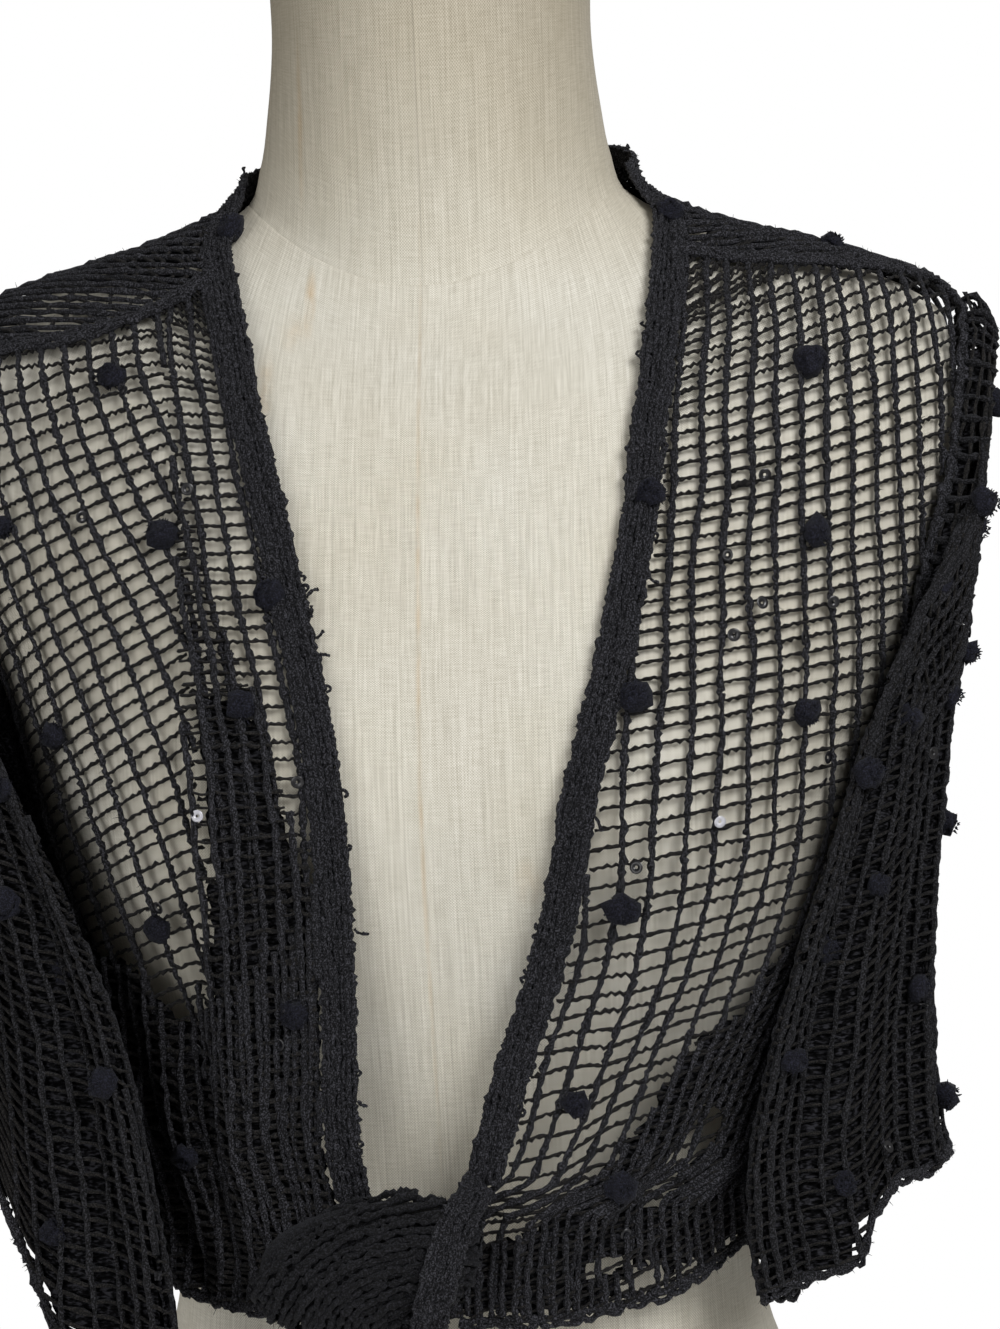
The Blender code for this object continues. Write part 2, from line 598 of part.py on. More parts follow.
# ---------------------------------------------------------------- sleeves
def armhole_ring(side, inset, out):
    """A ring round an armhole, inside the edge that the panels' rows make: front, top, back, underarm."""
    rows = [level for level in BODY_LEVELS if UNDERARM - 0.001 < level <= ARMHOLE[-1][0]]
    levels = np.linspace(rows[0], rows[-1], 121)
    widths = column(TORSO, 3, levels)
    edges = []
    for behind in (False, True):
        edge = np.interp(levels, rows, [armhole_degrees(level, side, behind) for level in rows])
        steps = np.hypot(np.diff(np.radians(edge) * widths), np.diff(levels))
        run = np.concatenate([[0.0], np.cumsum(steps)])
        even = np.linspace(0, run[-1], SLEEVE_SIDES // 2 + 1)
        edges.append(np.stack([np.interp(even, run, edge), np.interp(even, run, levels)], -1))
    quarter = SLEEVE_SIDES // 4
    whole = np.concatenate([edges[0][:-1], edges[1][:0:-1]])
    whole = np.roll(whole, -quarter, axis=0)
    half_width = column(TORSO, 3, whole[:, 1])
    flat = np.stack([np.radians(whole[:, 0]) * half_width, whole[:, 1]], -1)
    centre = (flat.max(axis=0) + flat.min(axis=0)) / 2
    reach = np.linalg.norm(flat - centre, axis=1, keepdims=True)
    flat = centre + (flat - centre) * (1 - inset / reach)
    return cloth_point(flat[:, 1], np.degrees(flat[:, 0] / half_width), side, out)


def sleeve_ring(row, share):
    """One ring of a left sleeve: front, outer side, back, side next to the body."""
    out_x, out_z, under_x, under_z, y, half_depth, front_in, back_in, front_drop = row
    angles = np.arange(SLEEVE_SIDES) * 2 * math.pi / SLEEVE_SIDES
    c, s = np.cos(angles), np.sin(angles)
    folds = sum(rise * np.sin(waves * angles + math.radians(start)) for waves, start, rise in SLEEVE_FOLDS)
    folds = folds * share**1.2
    away = np.array([out_x - under_x, out_z - under_z]) / 2
    wide = 1 + folds / np.linalg.norm(away)
    x = (out_x + under_x) / 2 + wide * s * away[0] - np.where(c > 0, front_in, back_in) * np.abs(c) ** 3
    step = np.clip((c - DROP_START) / DROP_RUN, 0, 1)
    z = (out_z + under_z) / 2 + wide * s * away[1] - front_drop * step * step * (3 - 2 * step)
    return np.stack([x, y - (half_depth + folds) * c, z], -1)


def sleeve_rings(name):
    side, table = SLEEVES[name]
    mirror = np.array([side, 1.0, 1.0])
    hanging = [sleeve_ring(row, (k + 1) / len(table)) * mirror for k, row in enumerate(table)]
    seam = armhole_ring(side, ARMHOLE_INSET, CLEAR + SEAM_LIFT)
    lifted = armhole_ring(side, ARMHOLE_INSET, CLEAR + CAP_LIFT)
    outwards = (lifted - seam) / np.linalg.norm(lifted - seam, axis=1, keepdims=True)
    top = np.clip(np.sin(np.arange(SLEEVE_SIDES) * 2 * math.pi / SLEEVE_SIDES), 0, 1)[:, None] ** 2
    lifted = lifted + CAP_RISE * top * outwards
    return [seam, lifted, (lifted + hanging[0]) / 2 + (CAP_BULGE + CAP_RISE * top) * outwards] + hanging


def make_sleeve(name, collection, yarn):
    side, table = SLEEVES[name]
    rings = sleeve_rings(name)
    if side == LEFT:
        rings = [ring[::-1] for ring in rings]
    obj, outer_faces = wall(rings, inner_rows(rings, True), True, name, yarn, collection)
    targets = []
    for k in range(4, len(rings) - 1, 2):
        shift = 2 if k % 4 == 0 else 0
        targets += [rings[k][(i + shift) % SLEEVE_SIDES] for i in range(0, SLEEVE_SIDES, 5)]
    raise_bobbles(obj, outer_faces, targets)
    return obj


# ---------------------------------------------------------------- edging, knot and tie ends
def strip_rings(centres, normals, half_width, half_thick, sides=8):
    """Rounded flat sections along a path."""
    tangents = np.gradient(centres, axis=0)
    tangents /= np.linalg.norm(tangents, axis=1, keepdims=True)
    rings = []
    for centre, tangent, normal, wide, thick in zip(centres, tangents, normals, half_width, half_thick):
        across = np.cross(tangent, normal)
        across /= np.linalg.norm(across)
        lift = np.cross(across, tangent)
        angles = np.arange(sides) * 2 * math.pi / sides + math.pi / sides
        a = np.sign(np.cos(angles)) * np.abs(np.cos(angles)) ** 0.7
        b = np.sign(np.sin(angles)) * np.abs(np.sin(angles)) ** 0.7
        rings.append(centre + wide * a[:, None] * across + thick * b[:, None] * lift)
    return rings


def edging_path():
    """Level and degrees along the edging, from the left knot end round the neck to the right."""
    left, right = edging_line(LEFT), edging_line(RIGHT)
    levels = np.concatenate([left[0], right[0][-2::-1]])
    degrees = np.concatenate([left[1], 180.0 - right[1][-2::-1]])
    return levels, degrees


def make_edging(collection, yarn):
    levels, degrees = edging_path()
    inner = cloth_point(levels, degrees, LEFT, CLEAR)
    outer = cloth_point(levels, degrees, LEFT, CLEAR + EDGING_THICK)
    normals = (outer - inner) / EDGING_THICK
    centres = (inner + outer) / 2
    count = len(levels)
    wide = np.full(count, EDGING_WIDTH / 2)
    thick = np.full(count, EDGING_THICK / 2)
    bm = loft(strip_rings(centres, normals, wide, thick, sides=6), ends="flat")
    bmesh.ops.recalc_face_normals(bm, faces=bm.faces)
    return finish_object(bm, "front_edging", yarn, collection, sharp=70.0)


def make_knot(collection, yarn):
    """A wrap of gathered net pulled into a rounded lump, ribbed on the slant."""
    half_x, half_y, half_z = KNOT_HALF
    across, around = 13, 28
    rings = []
    for i in range(across):
        u = math.radians(-78 + 156 * i / (across - 1))
        ring = []
        for j in range(around):
            v = 2 * math.pi * j / around
            x = half_x * math.sin(u)
            slant = x / half_x * KNOT_SLANT + v
            rib = KNOT_RIB_RISE * math.cos(KNOT_RIBS * slant) * math.cos(u)
            y = (half_y + rib) * math.cos(u) ** 0.6 * math.cos(v)
            z = (half_z + rib) * math.cos(u) ** 0.6 * math.sin(v) + KNOT_TILT * x
            ring.append((KNOT_CENTRE[0] + x, KNOT_CENTRE[1] + y, KNOT_CENTRE[2] + z))
        rings.append(ring)
    bm = loft(rings, ends="flat")
    bmesh.ops.recalc_face_normals(bm, faces=bm.faces)
    return finish_object(bm, "knot", yarn, collection, sharp=70.0)


def make_tie_end(name, collection, yarn):
    table = TIE_ENDS[name]
    rows = [(k, *row) for k, row in enumerate(table)]
    at = np.linspace(0, len(table) - 1, 7)
    x, y, z, wide, thick = [column(rows, k, at) for k in range(1, 6)]
    centres = np.stack([x, y, z], -1)
    normals = np.tile(np.array([0.0, -1.0, 0.0]), (len(at), 1))
    bm = loft(strip_rings(centres, normals, wide, thick, sides=8), ends="flat")
    bmesh.ops.recalc_face_normals(bm, faces=bm.faces)
    return finish_object(bm, name, yarn, collection, sharp=70.0)


# ---------------------------------------------------------------- the whole part
def build():
    for obj in list(bpy.data.objects):
        bpy.data.objects.remove(obj)
    collection = bpy.data.collections.new("knitted_shrug_on_form")
    bpy.context.scene.collection.children.link(collection)
    linen = material("linen", (0.62, 0.58, 0.50), 0.85)
    wood = material("painted_board", (0.55, 0.50, 0.42), 0.6)
    yarn = material("black_chenille", (0.012, 0.012, 0.018), 0.95)
    make_torso(collection, linen)
    make_neck(collection, linen)
    make_neck_cap(collection, wood)
    make_base(collection, wood)
    make_front("front_left", LEFT, collection, yarn)
    make_front("front_right", RIGHT, collection, yarn)
    make_back(collection, yarn)
    for name in SLEEVES:
        make_sleeve(name, collection, yarn)
    make_edging(collection, yarn)
    make_knot(collection, yarn)
    for name in TIE_ENDS:
        make_tie_end(name, collection, yarn)


build()
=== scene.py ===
# %% [markdown]
# # A knitted ladder-net shrug on a linen dress form
# The shrug is hand-knitted net: thick fuzzy cords run up and down, thin crinkled yarn crosses
# between them like the rungs of a ladder, and tufts of the same yarn sit on the cords. It ties at
# the waist and hangs on a limbless dress form covered in unbleached linen. This lesson rebuilds it
# yarn by yarn on top of a plain solid model, which gives the sizes and stays in place for physics.

# %% Start from the solid model
import math

import bpy
import numpy as np
from mathutils import Matrix, Vector


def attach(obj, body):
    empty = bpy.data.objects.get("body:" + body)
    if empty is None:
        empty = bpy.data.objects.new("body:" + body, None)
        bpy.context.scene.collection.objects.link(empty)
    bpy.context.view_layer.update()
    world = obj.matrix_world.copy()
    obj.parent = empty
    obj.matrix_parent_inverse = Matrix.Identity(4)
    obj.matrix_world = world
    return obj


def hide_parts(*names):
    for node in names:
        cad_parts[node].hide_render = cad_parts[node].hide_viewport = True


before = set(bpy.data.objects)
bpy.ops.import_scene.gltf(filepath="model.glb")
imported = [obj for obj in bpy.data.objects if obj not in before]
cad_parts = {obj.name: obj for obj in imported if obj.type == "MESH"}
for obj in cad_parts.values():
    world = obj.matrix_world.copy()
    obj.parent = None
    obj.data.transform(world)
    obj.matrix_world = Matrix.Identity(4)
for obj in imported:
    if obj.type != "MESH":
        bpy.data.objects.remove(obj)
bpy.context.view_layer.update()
rng = np.random.default_rng(7)
LEFT, RIGHT = 1, -1
print("solids:", sorted(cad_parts))

# %% [markdown]
# ## One surface for the form and the cloth
# A dress form is a stack of smooth ovals, so a table of ovals describes it best: each row gives a
# ring's height at the side of the body, its height at the front and back, half its width, its depth
# in front and behind, and how square it is. A smooth curve through each column gives every ring in
# between. The same rings, pushed outwards, carry the cloth, so the two can never cut each other.

# %% Rings of the body
RINGS = np.array((
    (0.0083, 0.0083, 0.0083, 0.146, 0.094, 0.106, 2.2),
    (0.03, 0.03, 0.03, 0.152, 0.098, 0.112, 2.2),
    (0.075, 0.075, 0.075, 0.148, 0.098, 0.109, 2.2),
    (0.12, 0.12, 0.12, 0.129, 0.091, 0.095, 2.2),
    (0.165, 0.165, 0.165, 0.11, 0.084, 0.079, 2.15),
    (0.203, 0.203, 0.203, 0.1055, 0.081, 0.073, 2.1),
    (0.24, 0.24, 0.24, 0.112, 0.085, 0.078, 2.1),
    (0.28, 0.28, 0.28, 0.124, 0.095, 0.087, 2.15),
    (0.32, 0.32, 0.32, 0.139, 0.106, 0.095, 2.2),
    (0.355, 0.355, 0.355, 0.15, 0.112, 0.099, 2.25),
    (0.39, 0.388, 0.39, 0.16, 0.11, 0.1, 2.35),
    (0.425, 0.414, 0.425, 0.172, 0.104, 0.099, 2.45),
    (0.46, 0.436, 0.458, 0.182, 0.098, 0.096, 2.5),
    (0.492, 0.456, 0.489, 0.187, 0.092, 0.091, 2.45),
    (0.515, 0.472, 0.514, 0.186, 0.087, 0.086, 2.35),
    (0.531, 0.485, 0.532, 0.179, 0.082, 0.081, 2.2),
    (0.544, 0.497, 0.548, 0.1545, 0.077, 0.076, 2.1),
    (0.555, 0.508, 0.561, 0.123, 0.072, 0.07, 2.0),
    (0.563, 0.518, 0.572, 0.098, 0.067, 0.064, 2.0),
    (0.57, 0.528, 0.581, 0.08, 0.063, 0.059, 2.0),
    (0.5735, 0.532, 0.5845, 0.074, 0.0615, 0.057, 2.0),
    (0.577, 0.536, 0.588, 0.07, 0.06, 0.055, 2.0),
    (0.59, 0.55, 0.6, 0.065, 0.059, 0.051, 2.0),
    (0.61, 0.579, 0.618, 0.0615, 0.06, 0.047, 2.0),
    (0.635, 0.62, 0.64, 0.059, 0.063, 0.044, 2.0),
    (0.662, 0.662, 0.662, 0.0595, 0.066, 0.042, 2.0),
))
BUST_X, BUST_Z, BUST_RISE, BUST_SPREAD, BUST_HEIGHT = 0.082, 0.352, 0.013, 0.042, 0.055


def smooth(table, index, at):
    """Smooth value of one column of a table at values of its first column."""
    knots, values = table[:, 0], table[:, index]
    span = np.diff(knots)
    slope = np.diff(values) / span
    middle = (slope[:-1] * span[1:] + slope[1:] * span[:-1]) / (span[1:] + span[:-1])
    tangent = np.concatenate([slope[:1], middle, slope[-1:]])
    at = np.clip(np.asarray(at, float), knots[0], knots[-1])
    i = np.clip(np.searchsorted(knots, at, side="right") - 1, 0, len(span) - 1)
    t = (at - knots[i]) / span[i]
    start = (2 * t**3 - 3 * t**2 + 1) * values[i] + (t**3 - 2 * t**2 + t) * span[i] * tangent[i]
    return start + (3 * t**2 - 2 * t**3) * values[i + 1] + (t**3 - t**2) * span[i] * tangent[i + 1]


def on_form(level, degrees, side=LEFT):
    """Point of the form: -90 degrees is the centre front, 0 the side line and +90 the centre back."""
    level, degrees = np.broadcast_arrays(np.asarray(level, float), np.asarray(degrees, float))
    front_z, back_z, half_width, front, back, square = [smooth(RINGS, k, level) for k in range(1, 7)]
    c, s = np.cos(np.radians(degrees)), np.sin(np.radians(degrees))
    ahead = s < 0
    x = side * half_width * np.sign(c) * np.abs(c) ** (2 / square)
    y = np.where(ahead, front, back) * np.sign(s) * np.abs(s) ** (2 / square)
    z = level + np.where(ahead, front_z - level, back_z - level) * s * s
    mound = np.exp(-((np.abs(x) - BUST_X) / BUST_SPREAD) ** 2 - ((z - BUST_Z) / BUST_HEIGHT) ** 2)
    return np.stack([x, y - np.where(ahead, BUST_RISE * mound, 0) * np.abs(s), z], -1)


# %% [markdown]
# Cloth doesn't touch the body everywhere. It bridges from the bust to the knot and blouses at the
# waist, and soft folds run down to the tie. Two tables hold that: how far the cloth hangs off at
# each height, and one row for each fold, from its top to its bottom point.

# %% The cloth's own surface
EASE = np.array((          # level, front, side, back
    (0.19, 0.02, 0.01, 0.014),
    (0.24, 0.021, 0.009, 0.012),
    (0.28, 0.014, 0.006, 0.008),
    (0.32, 0.005, 0.003, 0.004),
    (0.355, 0.001, 0.001, 0.001),
    (0.4, 0.0, 0.0, 0.0),
    (0.5, 0.0, 0.0, 0.0),
    (0.52, 0.0, 0.002, 0.0),
    (0.533, 0.0, 0.0032, 0.0005),
    (0.547, 0.0, 0.0014, 0.0005),
    (0.563, 0.0, 0.0, 0.0),
    (0.577, 0.0, 0.002, 0.002),
    (0.586, 0.001, 0.006, 0.004),
    (0.6, 0.001, 0.006, 0.004),
))
FOLDS = (                  # facing, x and z at the top, x and z at the bottom, half width, rise
    (-1, -0.083, 0.48, -0.052, 0.215, 0.014, 0.0075),
    (-1, -0.1, 0.33, -0.062, 0.21, 0.013, 0.0085),
    (-1, -0.12, 0.33, -0.074, 0.196, 0.012, 0.0075),
    (-1, -0.116, 0.262, -0.08, 0.185, 0.01, 0.006),
    (-1, 0.078, 0.33, 0.024, 0.225, 0.012, 0.006),
    (-1, 0.108, 0.31, 0.03, 0.21, 0.012, 0.0075),
    (-1, 0.124, 0.27, 0.034, 0.198, 0.011, 0.0065),
    (1, -0.105, 0.33, -0.085, 0.19, 0.015, 0.008),
    (1, -0.052, 0.3, -0.044, 0.19, 0.014, 0.007),
    (1, 0.006, 0.32, 0.0, 0.19, 0.016, 0.008),
    (1, 0.06, 0.3, 0.049, 0.19, 0.013, 0.007),
    (1, 0.11, 0.335, 0.09, 0.19, 0.015, 0.008),
)
CLEAR = 0.0016             # air between the form and the cloth
WALE = 0.0024              # thickness of an up-and-down cord
YARN = 0.00148              # thickness of a rung


def fold_rise(points):
    x, y, z = points[..., 0], points[..., 1], points[..., 2]
    rise = np.zeros(x.shape)
    for facing, x_top, z_top, x_bottom, z_bottom, half_width, height in FOLDS:
        along = np.clip((z_top - z) / (z_top - z_bottom), 0, 1)
        offset = np.abs(x - (x_top + (x_bottom - x_top) * along)) / half_width
        ridge = np.cos(np.clip(offset, 0, 1) * math.pi / 2) ** 2 * np.sin(along * math.pi / 2) ** 1.3
        rise = np.maximum(rise, np.where(y * facing > 0, height * ridge, 0))
    return rise


def on_cloth(level, degrees, side=LEFT, out=CLEAR):
    """Point of the cloth, and the direction that faces out there."""
    point = on_form(level, degrees, side)
    up = on_form(level + 0.0002, degrees, side) - on_form(level - 0.0002, degrees, side)
    turn = on_form(level, degrees + 0.02, side) - on_form(level, degrees - 0.02, side)
    normal = np.cross(turn, up) * side
    normal /= np.linalg.norm(normal, axis=-1, keepdims=True)
    s = np.sin(np.radians(degrees))
    front, at_side, back = [np.maximum(0, smooth(EASE, k, level)) for k in (1, 2, 3)]
    ease = at_side + (np.where(s < 0, front, back) - at_side) * s * s + fold_rise(point)
    return point + normal * (ease + out)[..., None], normal


print("shoulder half width %.3f m" % on_form(0.492, 0.0)[0])

# %% [markdown]
# ## Where the pieces end
# The fronts stop at the edging of the V, at the armholes and at the shoulder seams. These lines are
# tables too, read in the same smooth way, in degrees round the body.

# %% Edges of the pieces
EDGING = 0.0115            # width of the edging
V_EDGE = np.array((        # height, x of the left and of the right inner edge of the V
    (0.15, 0.005, 0.0175),
    (0.233, 0.0055, 0.018),
    (0.256, 0.012, 0.022),
    (0.279, 0.019, 0.0225),
    (0.311, 0.0325, 0.0235),
    (0.328, 0.038, 0.024),
    (0.36, 0.045, 0.0255),
    (0.398, 0.055, 0.031),
    (0.424, 0.061, 0.037),
    (0.45, 0.066, 0.043),
    (0.491, 0.071, 0.053),
    (0.516, 0.0745, 0.059),
    (0.547, 0.0775, 0.067),
    (0.564, 0.0765, 0.0705),
    (0.59, 0.074, 0.072),
))
SHOULDER = np.array((      # level, degrees in front of the side line: left, right
    (0.528, 4.0, 30.0),
    (0.532, 6.0, 34.0),
    (0.543, 20.0, 42.0),
    (0.5545, 31.0, 43.0),
    (0.565, 36.0, 40.0),
    (0.572, 36.0, 38.0),
))
ARMHOLE = np.array((       # level, degrees: left front and back, right front and back
    (0.395, 1.0, 1.0, 1.0, 1.0),
    (0.402, 12.0, 12.0, 12.0, 11.0),
    (0.416, 18.0, 19.0, 20.0, 17.0),
    (0.445, 21.0, 25.0, 26.0, 22.0),
    (0.475, 19.0, 26.0, 30.0, 22.0),
    (0.5, 16.0, 22.0, 32.0, 17.0),
    (0.518, 11.0, 12.0, 32.0, -4.0),
    (0.528, 4.0, -4.0, 30.0, -30.0),
))
EDGING_END, UPPER_CHEST, SHOULDER_POINT, BACK_NECK = 0.2385, 0.54, 0.568, 0.59
NECK_CLIMB = {LEFT: 2.4, RIGHT: 1.6}    # how soon the edging reaches the back neck's level


def v_degrees(level, side, beyond=0.0):
    """Degrees at which rings meet the V edge of one front, or a line beyond it."""
    level = np.asarray(level, float)
    half_width, front_z, square = [smooth(RINGS, k, level) for k in (3, 1, 6)]
    height = level
    for _ in range(30):
        x = smooth(V_EDGE, 1 if side == LEFT else 2, height) + beyond
        degrees = -np.degrees(np.arccos(np.clip(x / half_width, 0, 1) ** (square / 2)))
        height = (height + level + (front_z - level) * np.sin(np.radians(degrees)) ** 2) / 2
    return degrees


def edging_line(side):
    """Levels and degrees of the edging's middle, from the knot up one front to the centre back."""
    chest = np.linspace(EDGING_END, UPPER_CHEST, 24)
    levels = np.concatenate([chest, [0.548, 0.556, 0.562, SHOULDER_POINT]])
    degrees = v_degrees(levels, side, EDGING / 2)
    share = np.linspace(0, 1, 13)[1:]
    climb = np.sin(np.minimum(1.0, share * NECK_CLIMB[side]) * math.pi / 2)
    levels = np.concatenate([levels, SHOULDER_POINT + (BACK_NECK - SHOULDER_POINT) * climb])
    return levels, np.concatenate([degrees, degrees[-1] + (90.0 - degrees[-1]) * share])


def front_end(level, side):
    """Degrees where a front ends: side line, armhole, then shoulder seam."""
    armhole = smooth(ARMHOLE, 1 if side == LEFT else 3, level)
    seam = smooth(SHOULDER, 1 if side == LEFT else 2, level)
    return -np.where(level <= ARMHOLE[0, 0], 0.0, np.where(level < ARMHOLE[-1, 0], armhole, seam))


def back_end(level, side):
    """Degrees where the back ends on one side."""
    armhole = smooth(ARMHOLE, 2 if side == LEFT else 4, level)
    seam = -smooth(SHOULDER, 1 if side == LEFT else 2, level)
    return np.where(level <= ARMHOLE[0, 0], 0.0, np.where(level < ARMHOLE[-1, 0], armhole, seam))


# %% [markdown]
# ## Measuring along the cloth
# A knitter counts stitches along the cloth, not degrees, so each ring is measured once: a chart
# turns a level and a distance along the cloth into degrees. Fronts measure from the edge of the V
# and the back from its middle. A net laid out in such distances has even cells everywhere.

# %% Charts of the cloth
LEVELS = np.linspace(0.186, 0.585, 160)
REACH = np.arange(0.0, 0.42, 0.001)


def chart(side, start, stop, flat=1.0):
    """Degrees at each level and distance along the cloth, from a start line towards a stop line.
    With flat below 1 the cells widen where the cloth turns away to the side, as it is pulled there."""
    rows = []
    for level, first, last in zip(LEVELS, start, stop):
        degrees = np.linspace(first, last, 240)
        points, _ = on_cloth(np.full(240, level), degrees, side)
        steps = np.linalg.norm(np.diff(points, axis=0) * (1, flat, 1), axis=1)
        run = np.concatenate([[0.0], np.cumsum(steps)])
        rows.append(np.interp(REACH, run, degrees, right=last))
    return np.array(rows)


def read_chart(table, level, reach):
    row = np.clip((level - LEVELS[0]) / (LEVELS[1] - LEVELS[0]), 0, len(LEVELS) - 1.001)
    step = np.clip(reach / (REACH[1] - REACH[0]), 0, len(REACH) - 1.001)
    i, j = row.astype(int), step.astype(int)
    a, b = row - i, step - j
    near = table[i, j] * (1 - b) + table[i, j + 1] * b
    far = table[i + 1, j] * (1 - b) + table[i + 1, j + 1] * b
    return near * (1 - a) + far * a


def beside_edging(side):
    """Degrees beside the edging, at each of the chart's levels, on to the centre back."""
    levels, degrees = edging_line(side)
    round_neck = np.interp(LEVELS, np.maximum.accumulate(levels), degrees) + 4.0
    return np.where(LEVELS < UPPER_CHEST, v_degrees(LEVELS, side, EDGING), round_neck)


under_knot = np.clip((0.24 - LEVELS) / 0.012, 0, 1) * 0.016
FRONT_START = {LEFT: v_degrees(LEVELS, LEFT, EDGING - under_knot), RIGHT: v_degrees(LEVELS, RIGHT, EDGING)}
CHARTS = {side: chart(side, FRONT_START[side], np.full(len(LEVELS), 60.0), 0.35) for side in (LEFT, RIGHT)}
BACK_CHARTS = {side: chart(side, np.full(len(LEVELS), 90.0), np.full(len(LEVELS), -60.0))
               for side in (LEFT, RIGHT)}
print("cloth from the V to the side at the bust:",
      round(float(np.interp(0, CHARTS[LEFT][68], REACH)), 3), "m")

# %% [markdown]
# ## Spinning yarn
# Every cord here is a tube along a line of points. Blender's curves with a bevel could do this, but
# thousands of them are slow, so one function makes all the tubes of a piece as a single mesh. It
# swells and pinches each ring of the tube a little at random, which is what makes the yarn fuzzy.
# The net's yarn is closed at every end, so each stretch of it is a solid with no open edge.

# %% Tubes along many lines
def mesh_object(name, points, faces, material, smooth_shade=True):
    """One mesh object from an array of points and an array of quads."""
    mesh = bpy.data.meshes.new(name)
    sides = faces.shape[1]
    mesh.vertices.add(len(points))
    mesh.vertices.foreach_set("co", np.asarray(points, np.float32).ravel())
    mesh.loops.add(faces.size)
    mesh.loops.foreach_set("vertex_index", faces.astype(np.int32).ravel())
    mesh.polygons.add(len(faces))
    mesh.polygons.foreach_set("loop_start", np.arange(0, faces.size, sides, dtype=np.int32))
    mesh.update(calc_edges=True)
    mesh.validate()
    if smooth_shade:
        mesh.shade_smooth()
    mesh.materials.append(material)
    made = bpy.data.objects.new(name, mesh)
    bpy.context.scene.collection.objects.link(made)
    return made


def in_triangles(faces):
    """Faces with their quads cut in two, so that quads and triangles can share a mesh."""
    if faces.shape[1] == 3:
        return faces
    return np.stack([faces[:, [0, 1, 2]], faces[:, [0, 2, 3]]], axis=1).reshape(-1, 3)


def tubes(lines, normals, radius, keep, sides=4, fuzz=0.25, ends=False):
    """Points and faces of tubes along lines[count, steps, 3]. keep[count, steps] says what shows.
    With ends, each stretch is closed at both ends, so that the yarn is a solid."""
    along = np.gradient(lines, axis=1)
    along /= np.linalg.norm(along, axis=-1, keepdims=True) + 1e-12
    across = np.cross(along, normals)
    across /= np.linalg.norm(across, axis=-1, keepdims=True) + 1e-12
    lift = np.cross(across, along)
    turn = np.arange(sides) * 2 * math.pi / sides
    radius = np.broadcast_to(radius, lines.shape[:2])[..., None]
    swell = radius * (1 + fuzz * (rng.random(lines.shape[:2] + (sides,)) * 2 - 1))
    points = lines[:, :, None] + (swell * np.cos(turn))[..., None] * across[:, :, None]
    points = points + (swell * np.sin(turn))[..., None] * lift[:, :, None]
    count, steps = lines.shape[:2]
    first = (np.arange(count)[:, None] * steps + np.arange(steps - 1)) * sides
    shown = (keep[:, :-1] & keep[:, 1:])
    beside = np.pad(shown, ((0, 0), (1, 1)))
    heads, tails = first[shown & ~beside[:, :-2]], first[shown & ~beside[:, 2:]] + sides
    first = first[shown][:, None]
    i = np.arange(sides)
    j = (i + 1) % sides
    quads = np.stack([first + i, first + j, first + sides + j, first + sides + i], -1).reshape(-1, 4)
    if not ends:
        return points.reshape(-1, 3), quads
    fan = np.stack([np.zeros(sides - 2, int), np.arange(1, sides - 1), np.arange(2, sides)], -1)
    caps = [heads[:, None, None] + fan[:, ::-1], tails[:, None, None] + fan]
    return points.reshape(-1, 3), np.concatenate([in_triangles(quads)] + [c.reshape(-1, 3) for c in caps])


def join(parts):
    """Several (points, faces) pairs as one, with unused points left out."""
    points, faces, start = [], [], 0
    for some_points, some_faces in parts:
        points.append(some_points)
        faces.append(in_triangles(some_faces) + start)
        start += len(some_points)
    points, faces = np.concatenate(points), np.concatenate(faces)
    used = np.zeros(len(points), bool)
    used[faces.ravel()] = True
    return points[used], (np.cumsum(used) - 1)[faces]


# %% [markdown]
# ## Yarn, linen and board
# The yarn is chenille: short fibres stand out all round and catch the light as fine grey specks on
# a navy black. Noise at the scale of single fibres paints those specks into the colour as highlights
# and gives them bump, and sheen gives the soft pale rim. The socket values that never change are set
# on the shader itself.

# %% Yarn
def new_material(name, roughness, sheen=0.0):
    made = bpy.data.materials.new(name)
    made.use_nodes = True
    shader = made.node_tree.nodes["Principled BSDF"]
    shader.inputs["Roughness"].default_value = roughness
    shader.inputs["Sheen Weight"].default_value = sheen
    shader.inputs["Sheen Roughness"].default_value = 0.5
    return made, made.node_tree.nodes, made.node_tree.links, shader


def noise(nodes, links, scale, detail=2.0, source=None, stretch=None):
    made = nodes.new("ShaderNodeTexNoise")
    made.inputs["Scale"].default_value = scale
    made.inputs["Detail"].default_value = detail
    where = source
    if where is None:
        where = nodes.new("ShaderNodeTexCoord").outputs["Object"]
    if stretch is not None:
        mapping = nodes.new("ShaderNodeMapping")
        mapping.inputs["Scale"].default_value = stretch
        links.new(where, mapping.inputs["Vector"])
        where = mapping.outputs["Vector"]
    links.new(where, made.inputs["Vector"])
    return made


def ramp(nodes, links, source, stops):
    made = nodes.new("ShaderNodeValToRGB")
    while len(made.color_ramp.elements) < len(stops):
        made.color_ramp.elements.new(0.5)
    for element, (at, colour) in zip(made.color_ramp.elements, stops):
        element.position = at
        element.color = (*colour, 1.0)
    links.new(source, made.inputs["Fac"])
    return made


def bump(nodes, links, shader, height, strength, distance):
    made = nodes.new("ShaderNodeBump")
    made.inputs["Strength"].default_value = strength
    made.inputs["Distance"].default_value = distance
    links.new(height, made.inputs["Height"])
    links.new(made.outputs["Normal"], shader.inputs["Normal"])
    return made


